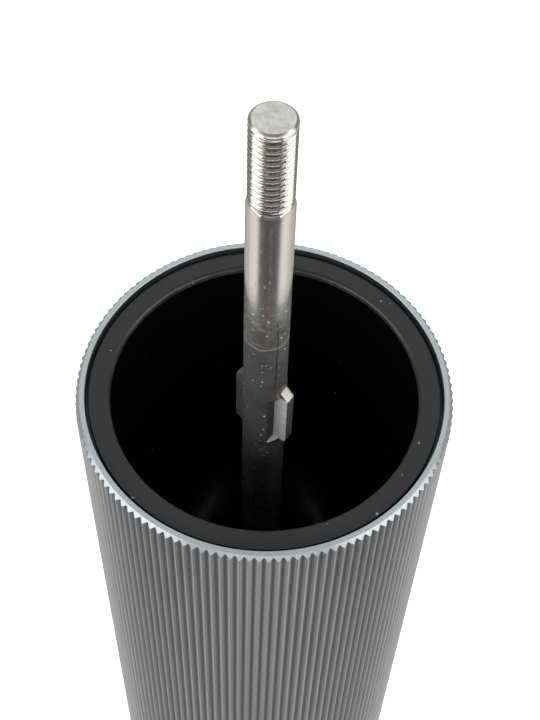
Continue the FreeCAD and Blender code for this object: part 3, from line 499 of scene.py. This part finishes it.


# torn bright metal where the ears were sheared up, its tear lines on a slant; also laid on the pocket's
# ledge as a painted highlight
def shearedSteelAndPaintedHighlight():
    look = shearLook
    material, tree, shader, place = startMaterial("shearedSteelAndPaintedHighlight", Metallic=0.0, Specular_IOR_Level=1.0)
    grain = useGroup(tree, grainGroup, place, (-800, 200), Grain_mm=0.12, Cloud_mm=0.7)
    turn = math.radians(look["turn"])
    axes = {"X": (look["slant"] * math.cos(turn), look["slant"] * math.sin(turn), 1.0),
            "Y": (math.cos(turn), math.sin(turn), -look["slant"])}
    tear = addNode(tree, "ShaderNodeCombineXYZ", (-700, -400))
    for label, scale in (("X", 2.6), ("Y", 0.5)):
        along = addNode(tree, "ShaderNodeVectorMath", (-900, -400), operation="DOT_PRODUCT")
        tree.links.new(place, along.inputs[0])
        along.inputs[1].default_value = [v * scale for v in axes[label]]
        tree.links.new(along.outputs["Value"], tear.inputs[label])
    lines = rampTo(tree, noiseAt(tree, tear.outputs[0], 1.0, 3.0, (-500, -400)), 0.36, 0.62, (-300, -400))
    colour = blendColour(tree, lines, look["torn"], look["colour"], (-100, 200))
    tree.links.new(colour, shader.inputs["Base Color"])
    rough = maths(tree, "MULTIPLY_ADD", grain["Grain"], 0.2, look["roughness"] - 0.1, place=(-400, -100))
    tree.links.new(rough, shader.inputs["Roughness"])
    addBump(tree, shader, maths(tree, "ADD", grain["Grain"], lines, place=(0, -300)), 0.03, (300, -300), 0.6)
    return material


# the pocket's floor, painted near black: a painted dark reflection of the chamber
def paintedShadeSteel():
    return plainFinish("paintedShadeSteel", (0.012, 0.011, 0.01), (0.03, 0.028, 0.025), 0.42, 0.3, 0.004,
                       Metallic=0.0, Specular_IOR_Level=0.3)


# simpler finishes for what lies below, each with its own grain
def plainFinish(name, colour, pale, roughness, grainSize, depth, **shaderValues):
    material, tree, shader, place = startMaterial(name, **shaderValues)
    grain = useGroup(tree, grainGroup, place, (-800, 200), Grain_mm=grainSize, Cloud_mm=6.0)
    tree.links.new(blendColour(tree, grain["Cloud"], colour, pale, (-100, 200)), shader.inputs["Base Color"])
    rough = maths(tree, "MULTIPLY_ADD", grain["Grain"], 0.16, roughness - 0.08, place=(-400, -100))
    tree.links.new(rough, shader.inputs["Roughness"])
    addBump(tree, shader, grain["Grain"], depth, (300, -300), 0.5)
    return material


finishes = {
    "anodised_aluminium": anodisedAluminium(),
    "black_nylon": blackNylon(),
    "gloss_black": glossBlack(),
    "polished_steel": polishedSteel(),
    "black_rubber": plainFinish("blackRubber", (0.012, 0.012, 0.012), (0.02, 0.02, 0.02), 0.75, 0.3, 0.02),
    "spring_steel": plainFinish("springSteel", (0.4, 0.4, 0.41), (0.5, 0.5, 0.5), 0.32, 0.1, 0.003,
                                Metallic=1.0),
    "zinc_steel": plainFinish("zincSteel", (0.52, 0.53, 0.55), (0.6, 0.6, 0.6), 0.36, 0.12, 0.004,
                              Metallic=1.0),
    "ceramic": plainFinish("ceramic", (0.7, 0.68, 0.63), (0.78, 0.76, 0.72), 0.4, 0.15, 0.01),
    "grey_acetal": plainFinish("greyAcetal", (0.2, 0.205, 0.215), (0.24, 0.245, 0.25), 0.42, 0.2, 0.006),
    "bronze": plainFinish("bronze", (0.45, 0.27, 0.11), (0.55, 0.36, 0.17), 0.4, 0.1, 0.006, Metallic=1.0),
}
for name, thing in nodes.items():
    for i in range(len(thing.material_slots)):
        thing.material_slots[i].material = finishes[slotOf[name]]
print("finishes made:", len(finishes))


sleeve = {"wall": 1.4, "flutes": 130, "depth": 0.5, "crestFlat": 0.12, "softness": 0.16, "chamfer": 0.65,
          "innerBreak": 0.06, "columnsPerFlute": 12, "straightRows": 6}


# depth of the V flute at a share of one pitch, its corners softened by averaging
def fluteDepth(share):
    pitch = 2 * math.pi * crestRadius / sleeve["flutes"]
    halfMouth = (pitch - sleeve["crestFlat"]) / 2
    total = 0
    for step in (-2, -1, 0, 1, 2):
        across = abs(((share + 0.5) % 1 - 0.5) * pitch + step * sleeve["softness"] / 4)
        across = min(across, pitch - across)
        total += max(1 - across / halfMouth, 0)
    return sleeve["depth"] * total / 5


def makeSleeve():
    low, high = boxMm("fluted_sleeve")
    per = sleeve["columnsPerFlute"]
    depths = [fluteDepth(i / per) for i in range(per)]
    count = per * sleeve["flutes"]
    angles = [2 * math.pi * i / count for i in range(count)]
    edge = crestRadius - sleeve["chamfer"]
    bore = crestRadius - sleeve["wall"]

    def row(radiusAt, heightAt):
        return [(radiusAt(i) * math.cos(angle), radiusAt(i) * math.sin(angle), heightAt(i))
                for i, angle in enumerate(angles)]

    def fluted(i):
        return crestRadius - depths[i % per]

    def foot(i):
        return low.z + sleeve["chamfer"] - depths[i % per]

    def head(i):
        return high.z - sleeve["chamfer"] + depths[i % per]

    rows = [row(lambda i: edge, lambda i: low.z)]
    for step in range(sleeve["straightRows"] + 1):
        part = step / sleeve["straightRows"]
        rows.append(row(fluted, lambda i: foot(i) + (head(i) - foot(i)) * part))
    rows.append(row(lambda i: edge, lambda i: high.z))
    rows.append(row(lambda i: bore + sleeve["innerBreak"], lambda i: high.z))
    rows.append(row(lambda i: bore, lambda i: high.z - sleeve["innerBreak"]))
    rows.append(row(lambda i: bore, lambda i: low.z))
    points, faces = joinRows(rows, loop=True)
    return makePiece("sleeveFluted", "fluted_sleeve", "mill_body", points, faces, sharp=22)


collar = {"gap": 0.5, "gapDepth": 1.2, "boreRadius": 22.5, "boreRound": 0.6, "outerBreak": 0.1,
          "linerRadius": 24.55, "sealDrop": 6.0, "sealDepth": 1.0, "sealWidth": 1.5, "skirtBevel": 0.3,
          "linerLip": 0.9, "segments": 240}


def makeCollar():
    low, high = boxMm("rim_collar")
    outer = high.x
    face = crestRadius - sleeve["wall"] - collar["gap"]
    sealMiddle = high.z - collar["sealDrop"]
    sealLow, sealHigh = sealMiddle - collar["sealWidth"] / 2, sealMiddle + collar["sealWidth"] / 2
    lip = high.z - collar["linerLip"]
    profile = softProfile([
        (collar["linerRadius"], low.z, 0),
        (outer, low.z, collar["skirtBevel"]),
        (outer, sealLow, 0.08),
        (outer - collar["sealDepth"], sealLow, 0.08),
        (outer - collar["sealDepth"], sealHigh, 0.08),
        (outer, sealHigh, 0.08),
        (outer, high.z - collar["gapDepth"], 0),
        (face, high.z - collar["gapDepth"], 0.08),
        (face, high.z, collar["outerBreak"]),
        (collar["boreRadius"], high.z, collar["boreRound"]),
        (collar["boreRadius"], lip, 0),
        (collar["linerRadius"], lip, 0),
    ])
    points, faces = joinRows([turnRow(r, z, collar["segments"]) for r, z in profile], loop=True)
    return makePiece("collarRing", "rim_collar", "mill_body", points, faces)


liner = {"segments": 240, "edgeRound": 0.12}


def makeLiner():
    low, high = boxMm("chamber_liner")
    inner = collar["boreRadius"]
    profile = softProfile([(inner, low.z, liner["edgeRound"]), (high.x, low.z, liner["edgeRound"]),
                           (high.x, high.z, 0), (inner, high.z, liner["edgeRound"])], steps=3)
    points, faces = joinRows([turnRow(r, z, liner["segments"]) for r, z in profile], loop=True)
    return makePiece("linerTube", "chamber_liner", "mill_body", points, faces)


# the spindle in its own axes: ears along X, then turned about Z as it stands
spindle = {
    "radius": 3.2, "turn": -35.0, "flatHalf": 2.5, "flatTop": 14.54, "tailChamfer": 0.8,
    "lowGroove": (3.12, 3.78, 2.2), "highGroove": (29.97, 30.83, 2.5), "seatRadius": 3.15, "seatRise": 0.2,
    "seatTaper": 0.8, "threadRadius": 2.97, "rootRadius": 2.38, "pitch": 1.0, "threadLength": 13.5,
    "leadIn": 1.2, "neckDepth": 0.66, "endBreak": 0.4, "rowStep": 0.0625, "faceRings": 12,
    "dimpleAt": (0.12, 0.5), "dimpleRadius": 0.9, "dimpleDepth": 0.13,
    # (depth below the seat, height above the shoulder) down to the neck
    "shoulder": ((0.0, -0.03), (0.01, 0.0), (0.03, 0.05), (0.29, 0.72), (0.32, 0.76), (0.6, 0.86),
                 (0.66, 0.98)),
    # (share of the end's rounding, bulge)
    "endCurve": ((0.0, 0.0), (0.08, 0.02), (0.5, 0.03), (0.92, 0.02), (1.0, 0.0)),
}
ear = {
    "top": mountAt["drive_ears"].z, "length": 12.9, "reach": 4.5, "face": -0.6, "back": 1.0, "crown": 0.07,
    "corners": (-20, -9, 9, 20), "rowStep": 0.11,
    "pocketFloor": 2.2, "pocketRise": 0.45, "pocketDrop": 1.3, "ledge": 0.08,
    # tear lines on the sheared face: (length, slant, share)
    "tearDepth": 0.028, "tears": ((0.7, 0.5, 1.0), (0.29, 0.35, 0.5)),
}
earLow = ear["top"] - ear["length"]
pocketLow = earLow + ear["pocketRise"]
pocketTop = ear["top"] - ear["pocketDrop"]
# how many steps each stretch of half a turn has: floor, sheared face, outer face, back face, plain round
earSteps = (6, 9, 8, 6, 33)
halfSteps = sum(earSteps)
floorAngle = -math.acos(ear["pocketFloor"] / spindle["radius"])


# angles of the columns on the plain round: those of an ear's corners, each stretch spread a little wider
def spreadAngles():
    corners = [floorAngle, *(math.radians(corner) for corner in ear["corners"]), floorAngle + math.pi]
    angles = []
    for first, last, steps in zip(corners, corners[1:], earSteps):
        angles += [first + (last - first) * step / steps for step in range(steps)]
    return angles + [angle + math.pi for angle in angles]


roundAngles = spreadAngles()


def spindleRow(radiusAt, height):
    return [(radiusAt(a) * math.cos(a), radiusAt(a) * math.sin(a), height) for a in roundAngles]


def plain(reach):
    return lambda angle: reach


def flatted(reach):
    return lambda angle: min(reach, spindle["flatHalf"] / max(abs(math.cos(angle)), 0.01))


# a clip groove cut into either cross-section
def grooveRows(section, groove):
    low, high, reach = groove
    outside, floor = section(spindle["radius"]), section(reach)
    return [spindleRow(outside, low), spindleRow(floor, low + 0.01),
            spindleRow(floor, high - 0.01), spindleRow(outside, high)]


def threadRadius(angle, height, threadLow, top):
    part = spindle
    phase = (height - threadLow) / part["pitch"] - 0.2 - angle / (2 * math.pi)
    offset = abs(phase - round(phase)) * part["pitch"]
    total = 0
    for step in (-0.04, 0, 0.04):
        slope = (abs(offset + step) - part["pitch"] / 16) / math.tan(math.radians(30))
        total += min(max(slope, 0), part["threadRadius"] - part["rootRadius"])
    cut = part["threadRadius"] - part["rootRadius"] - total / 3
    cut *= ease(height, threadLow - 0.15, threadLow + 0.7) * (1 - ease(height, top - 0.95, top - 0.35))
    return part["threadRadius"] - cut


# how far the tear lines lift the sheared face, fading towards its edges
def tearLift(across, height, step):
    ripple = 0
    for length, slant, share in ear["tears"]:
        ripple += share * math.sin(2 * math.pi * (height + slant * across) / length)
    edge = min(step, earSteps[1] - step) / 2
    worn = ear["tearDepth"] * min(edge, 1) * ease(height, earLow + 0.5, earLow + 1.2)
    return worn * ripple * (1 - ease(height, pocketTop - 0.6, pocketTop))


# one row through the ears: the floor cut to floorX, the ear out to tipX
def earRow(height, floorX, tipX):
    radius, faceY, backY, crownDepth = spindle["radius"], ear["face"], ear["back"], ear["crown"]
    floorX = min(floorX, math.sqrt(radius ** 2 - faceY ** 2))
    cornerAngle = math.atan2(faceY, floorX)
    half = []
    for step in range(earSteps[0]):
        angle = floorAngle + (cornerAngle - floorAngle) * step / earSteps[0]
        reach = min(radius, floorX / math.cos(angle))
        half.append((reach * math.cos(angle), reach * math.sin(angle)))
    tipFace = max(tipX, math.sqrt(radius ** 2 - faceY ** 2) + 0.02)
    for step in range(earSteps[1]):
        across = floorX + (tipFace - floorX) * step / earSteps[1]
        half.append((across, faceY + tearLift(across, height, step)))
    backX = math.sqrt(radius ** 2 - backY ** 2)
    tipBack = max(tipX, backX + 0.02)
    for step in range(earSteps[2]):
        share = step / earSteps[2]
        up = faceY + (backY - faceY) * share
        crown = crownDepth * (1 - (2 * share - 1) ** 4) - crownDepth
        half.append((max(tipX + crown * (tipX > radius), math.sqrt(radius ** 2 - up ** 2) + 0.01), up))
    for step in range(earSteps[3]):
        across = tipBack - crownDepth + (backX - tipBack + crownDepth) * step / earSteps[3]
        half.append((max(across, backX + 0.001 * (earSteps[3] - step)), backY))
    endAngle = floorAngle + math.pi
    firstAngle = math.atan2(backY, backX)
    for step in range(earSteps[4]):
        angle = firstAngle + (endAngle - firstAngle) * step / earSteps[4]
        half.append((radius * math.cos(angle), radius * math.sin(angle)))
    return [(x, y, height) for x, y in half] + [(-x, -y, height) for x, y in half]


def earRows():
    radius, top = spindle["radius"], ear["top"]
    steps = round((top - earLow) / ear["rowStep"])
    heights = [earLow + (top - earLow) * i / steps for i in range(steps + 1)]
    heights += [pocketLow + up for up in (0.0, 0.015, 0.03, 0.045, 0.06, ear["ledge"])]
    rows = []
    for height in sorted(heights):
        outward = math.sqrt(ease(height, earLow, earLow + 1.1))
        upper = 1 - max(height - pocketTop, 0) / (top - pocketTop)
        tip = radius + (ear["reach"] - radius) * min(outward, upper)
        scoop = min(max((height - pocketLow) / ear["ledge"], 0), 1)
        shut = 1 - ease(height, pocketTop - 0.25, pocketTop)
        rows.append(earRow(height, radius - (radius - ear["pocketFloor"]) * min(scoop, shut), tip))
    return rows


def tailRows(low):
    part = spindle
    radius = part["radius"]
    rows = [spindleRow(flatted(radius - part["tailChamfer"]), low),
            spindleRow(flatted(radius), low + part["tailChamfer"])]
    rows += grooveRows(flatted, part["lowGroove"])
    rows += [spindleRow(flatted(radius), part["flatTop"]), spindleRow(plain(radius), part["flatTop"] + 0.01)]
    rows += grooveRows(plain, part["highGroove"])
    rows.append(spindleRow(plain(radius), earLow - 0.35))
    return rows


# from above the ears to the edge of the end face
def upperRows(top):
    part = spindle
    seatFrom = ear["top"] + part["seatRise"]
    rows = [spindleRow(plain(part["radius"]), ear["top"] + 0.1), spindleRow(plain(part["radius"]), seatFrom),
            spindleRow(plain(part["seatRadius"]), seatFrom + part["seatTaper"])]
    threadLow = top - part["threadLength"]
    shoulder = threadLow - part["leadIn"]
    for depth, up in part["shoulder"]:
        rows.append(spindleRow(plain(part["seatRadius"] - depth), shoulder + up))
    neck = part["seatRadius"] - part["neckDepth"]
    height = shoulder + 1.0
    while height < top - part["endBreak"] - part["rowStep"]:
        taper = neck + (part["threadRadius"] - neck) * ease(height, shoulder + 1.0, threadLow + 0.1)
        rows.append(spindleRow(lambda a: min(taper, threadRadius(a, height, threadLow, top)), height))
        height += part["rowStep"]
    for share, bulge in part["endCurve"]:
        reach = part["threadRadius"] - part["endBreak"] * share + bulge
        height = top - part["endBreak"] * (1 - share)
        rows.append(spindleRow(plain(min(reach, part["threadRadius"])), height))
    return rows


# a shallow off-centre dimple in the upper end, in the spindle's own axes
def dimple(x, y):
    part = spindle
    turn = math.radians(-part["turn"])
    centreX = part["dimpleAt"][0] * math.cos(turn) - part["dimpleAt"][1] * math.sin(turn)
    centreY = part["dimpleAt"][0] * math.sin(turn) + part["dimpleAt"][1] * math.cos(turn)
    away = math.hypot(x - centreX, y - centreY) / part["dimpleRadius"]
    return part["dimpleDepth"] * max(1 - away ** 2, 0) ** 2


def endRows(top):
    part = spindle
    edge = part["threadRadius"] - part["endBreak"]
    rows = []
    for step in range(1, part["faceRings"]):
        ring = spindleRow(plain(edge * (1 - step / part["faceRings"])), top)
        rows.append([(x, y, top - dimple(x, y)) for x, y, z in ring])
    return rows


# the sheared face is torn metal; the pocket's ledge takes the same bright finish as a painted highlight, and
# its floor a near-black painted dark reflection
def finishEars(piece, rows, firstRow, lastRow):
    piece.data.materials.append(shearedSteelAndPaintedHighlight())
    # painted dark reflection: the near-black finish of the pocket floor
    piece.data.materials.append(paintedShadeSteel())
    count = 2 * halfSteps
    for i in range(firstRow, lastRow):
        height = rows[i][0][2]
        if not pocketLow - 0.001 < height < pocketTop:
            continue
        for j in range(earSteps[0] + earSteps[1]):
            # painted highlight: the pocket's ledge rows take the bright sheared finish
            finish = 2 if j < earSteps[0] and height > pocketLow + 0.07 else 1
            piece.data.polygons[i * count + j].material_index = finish
            piece.data.polygons[i * count + halfSteps + j].material_index = finish


def makeSpindle():
    low, high = boxMm("spindle")
    rows = tailRows(low.z)
    firstEarRow = len(rows)
    rows += earRows()
    lastEarRow = len(rows)
    rows += upperRows(high.z) + endRows(high.z)
    points, faces = joinRows(rows)
    bottom, tip = len(points), len(points) + 1
    points += [(0, 0, low.z), (0, 0, high.z - dimple(0, 0))]
    count = 2 * halfSteps
    lastRow = (len(rows) - 1) * count
    for j in range(count):
        k = (j + 1) % count
        faces += [(k, j, bottom), (lastRow + j, lastRow + k, tip)]
    turn = Matrix.Rotation(math.radians(spindle["turn"]), 3, "Z")
    points = [turn @ Vector(point) for point in points]
    piece = makePiece("spindleRod", "spindle", "spindle", points, faces, sharp=35)
    finishEars(piece, rows, firstEarRow, lastEarRow)
    return piece


spring = {"wire": 0.5, "turns": 5.4, "closedTurns": 1.0, "stepsPerTurn": 48, "wireSegments": 16,
          "keep": 0.797}


def makeSpring():
    low, high = boxMm("grind_spring")
    part = spring
    coil = high.x - part["wire"]
    steps = round(part["turns"] * part["stepsPerTurn"])
    closedShare = part["closedTurns"] / part["turns"]
    rows = []
    for i in range(steps + 1):
        share = i / steps
        angle = 2 * math.pi * part["turns"] * share
        rise = ease(share, closedShare * 0.5, 1 - closedShare * 0.5)
        middle = low.z + part["wire"] * 0.6 + (high.z - low.z - part["wire"] * 1.2) * rise
        row = []
        for j in range(part["wireSegments"]):
            lean = 2 * math.pi * j / part["wireSegments"]
            reach = coil + part["wire"] * math.cos(lean)
            up = min(max(middle + part["wire"] * math.sin(lean), low.z), high.z)
            row.append((reach * math.cos(angle), reach * math.sin(angle), up))
        rows.append(row[::-1])
    points, faces = joinRows(rows)
    last = (len(rows) - 1) * part["wireSegments"]
    faces.append(tuple(range(part["wireSegments"]))[::-1])
    faces.append(tuple(range(last, last + part["wireSegments"])))
    piece = makePiece("springCoil", "grind_spring", "mill_body", points, faces)
    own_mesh(piece)
    return piece


makeSleeve()
makeCollar()
makeLiner()
makeSpindle()
makeSpring()
print("pieces made: sleeve, collar, liner, spindle, spring")


# the floor glows for reflections and bounce light only, which is painted light; beside the object that glow
# is pulled toward an even dimmer grey, a painted shadow of the object, and further out it is uneven
floorLook = {"size": 12.0, "glow": 0.85, "colour": 0.8, "paintedShadowBounce": (0.62, 0.62, 0.625), "nearReach": 95,
             "farReach": 150, "nearShare": 0.45}
# what the floor's glow sends into reflections, by share of a turn from -X: left, front, right, back; the dim
# front stretch is a painted dark reflection
bounceStops = ((0.0, 0.8), (0.05, 1.0), (0.1, 1.0), (0.125, 0.6), (0.15, 0.15), (0.25, 0.1),
               (0.35, 0.15), (0.375, 0.6), (0.4, 1.0), (0.45, 1.0), (0.5, 0.8), (0.62, 0.4),
               (0.75, 0.35), (0.88, 0.4), (1.0, 0.8))


def makeFloor():
    look = floorLook
    half = look["size"] / 2
    mesh = bpy.data.meshes.new("floor")
    corners = [(-half, -half, 0), (half, -half, 0), (half, half, 0), (-half, half, 0)]
    mesh.from_pydata(corners, [], [(0, 1, 2, 3)])
    floor = bpy.data.objects.new("floor", mesh)
    bpy.context.scene.collection.objects.link(floor)
    material, tree, shader, place = startMaterial("paleFloor", Roughness=0.9, Specular_IOR_Level=0.1)
    shader.inputs["Base Color"].default_value = (look["colour"], look["colour"], look["colour"], 1)
    shader.inputs["Emission Color"].default_value = (1, 1, 1, 1)
    shader.inputs["Emission Strength"].default_value = look["glow"]
    around = addNode(tree, "ShaderNodeTexGradient", (-500, -400), gradient_type="RADIAL")
    tree.links.new(place, around.inputs["Vector"])
    tone = addNode(tree, "ShaderNodeValToRGB", (-300, -400))
    ramp = tone.color_ramp
    ramp.interpolation = "B_SPLINE"
    while len(ramp.elements) < len(bounceStops):
        ramp.elements.new(0.5)
    for element, (where, level) in zip(ramp.elements, bounceStops):
        element.position = where
        element.color = (level, level * 0.99, level * 0.96, 1)
    tree.links.new(around.outputs["Fac"], tone.inputs["Fac"])
    # painted light: a glow that only reflections and bounce rays see
    bounce = addNode(tree, "ShaderNodeEmission", (900, -400))
    away = addNode(tree, "ShaderNodeVectorMath", (-500, -700), operation="LENGTH")
    tree.links.new(place, away.inputs[0])
    distance = away.outputs["Value"]
    # painted shadow: near the object the glow is pulled toward a dimmer even grey
    far = rampTo(tree, distance, look["nearReach"], look["farReach"], (-300, -700), look["nearShare"])
    mixed = blendColour(tree, far, look["paintedShadowBounce"], tone.outputs["Color"], (300, -500))
    tree.links.new(mixed, bounce.inputs["Color"])
    seen = addNode(tree, "ShaderNodeLightPath", (700, 400))
    choose = addNode(tree, "ShaderNodeMixShader", (1050, 0))
    tree.links.new(seen.outputs["Is Camera Ray"], choose.inputs[0])
    tree.links.new(bounce.outputs[0], choose.inputs[1])
    tree.links.new(shader.outputs[0], choose.inputs[2])
    under = addNode(tree, "ShaderNodeNewGeometry", (1050, 400))
    clear = addNode(tree, "ShaderNodeBsdfTransparent", (1050, -200))
    oneSided = addNode(tree, "ShaderNodeMixShader", (1200, 100))
    tree.links.new(under.outputs["Backfacing"], oneSided.inputs[0])
    tree.links.new(choose.outputs[0], oneSided.inputs[1])
    tree.links.new(clear.outputs[0], oneSided.inputs[2])
    tree.links.new(oneSided.outputs[0], tree.nodes["Material Output"].inputs["Surface"])
    mesh.materials.append(material)


# softboxes: place and size in metres, watts and tint
softboxes = {
    "overhead": {"at": (0.0, 1.15, 1.3), "size": (2.4, 1.5), "watts": 7.6, "tint": (0.93, 0.97, 1.0)},
    "left": {"at": (-0.87, 0.14, 1.26), "size": (0.8, 0.6), "watts": 2.6, "tint": (1.0, 1.0, 1.0)},
    "right": {"at": (0.87, 0.14, 1.26), "size": (0.8, 0.6), "watts": 3.0, "tint": (1.0, 0.99, 0.97)},
    "leftFront": {"at": (-1.2, -0.53, 0.65), "size": (1.5, 1.0), "watts": 7.5, "tint": (1.0, 1.0, 1.0)},
    "rightFront": {"at": (1.2, -0.53, 0.65), "size": (1.5, 1.0), "watts": 7.0, "tint": (1.0, 0.99, 0.98)},
    "front": {"at": (0.0, -1.35, 0.95), "size": (1.4, 0.5), "watts": 2.6, "tint": (1.0, 1.0, 1.0)},
}
worldLevel = 0.22
backdropLevel = 0.9


def makeLights():
    target = Vector((0, 0, rimHeight * mm))
    for name, plan in softboxes.items():
        lamp = bpy.data.lights.new(name, "AREA")
        lamp.shape = "RECTANGLE"
        lamp.size, lamp.size_y = plan["size"]
        lamp.energy = plan["watts"]
        lamp.color = plan["tint"]
        thing = bpy.data.objects.new(name, lamp)
        thing.location = plan["at"]
        thing.rotation_euler = (target - Vector(plan["at"])).to_track_quat("-Z", "Y").to_euler()
        bpy.context.scene.collection.objects.link(thing)
    world = bpy.data.worlds.new("studio")
    world.use_nodes = True
    back = world.node_tree.nodes["Background"]
    back.inputs["Color"].default_value = (1, 1, 1, 1)
    tree = world.node_tree
    seen = addNode(tree, "ShaderNodeLightPath", (-600, 0)).outputs["Is Camera Ray"]
    level = rampTo(tree, seen, 0.0, 1.0, (-300, 0), worldLevel, backdropLevel)
    tree.links.new(level, back.inputs["Strength"])
    bpy.context.scene.world = world


# how the camera stands to the middle of the rim: metres, degrees, and millimetres of lens
cameraPlan = {"offset": (0, -0.1094, 0.1710), "elevation": 56.24, "pan": 0.314, "roll": 2.16,
              "lens": 69.9, "frame": 36.0}


def makeCamera():
    plan = cameraPlan
    lens = bpy.data.cameras.new("camera")
    lens.sensor_fit = "VERTICAL"
    lens.sensor_height = plan["frame"]
    lens.lens = plan["lens"]
    camera = bpy.data.objects.new("camera", lens)
    down, pan, roll = (math.radians(plan[key]) for key in ("elevation", "pan", "roll"))
    forward = Vector((math.sin(pan) * math.cos(down), math.cos(pan) * math.cos(down), -math.sin(down)))
    level = Vector((math.cos(pan), -math.sin(pan), 0))
    upright = level.cross(forward)
    right = level * math.cos(roll) + upright * math.sin(roll)
    up = upright * math.cos(roll) - level * math.sin(roll)
    turn = Matrix((right, up, -forward)).transposed()
    place = Vector(plan["offset"]) + Vector((0, 0, rimHeight * mm))
    camera.matrix_world = Matrix.Translation(place) @ turn.to_4x4()
    bpy.context.scene.collection.objects.link(camera)
    bpy.context.scene.camera = camera


makeFloor()
makeLights()
makeCamera()
bpy.context.scene.view_settings.view_transform = "Standard"
print("stage set")
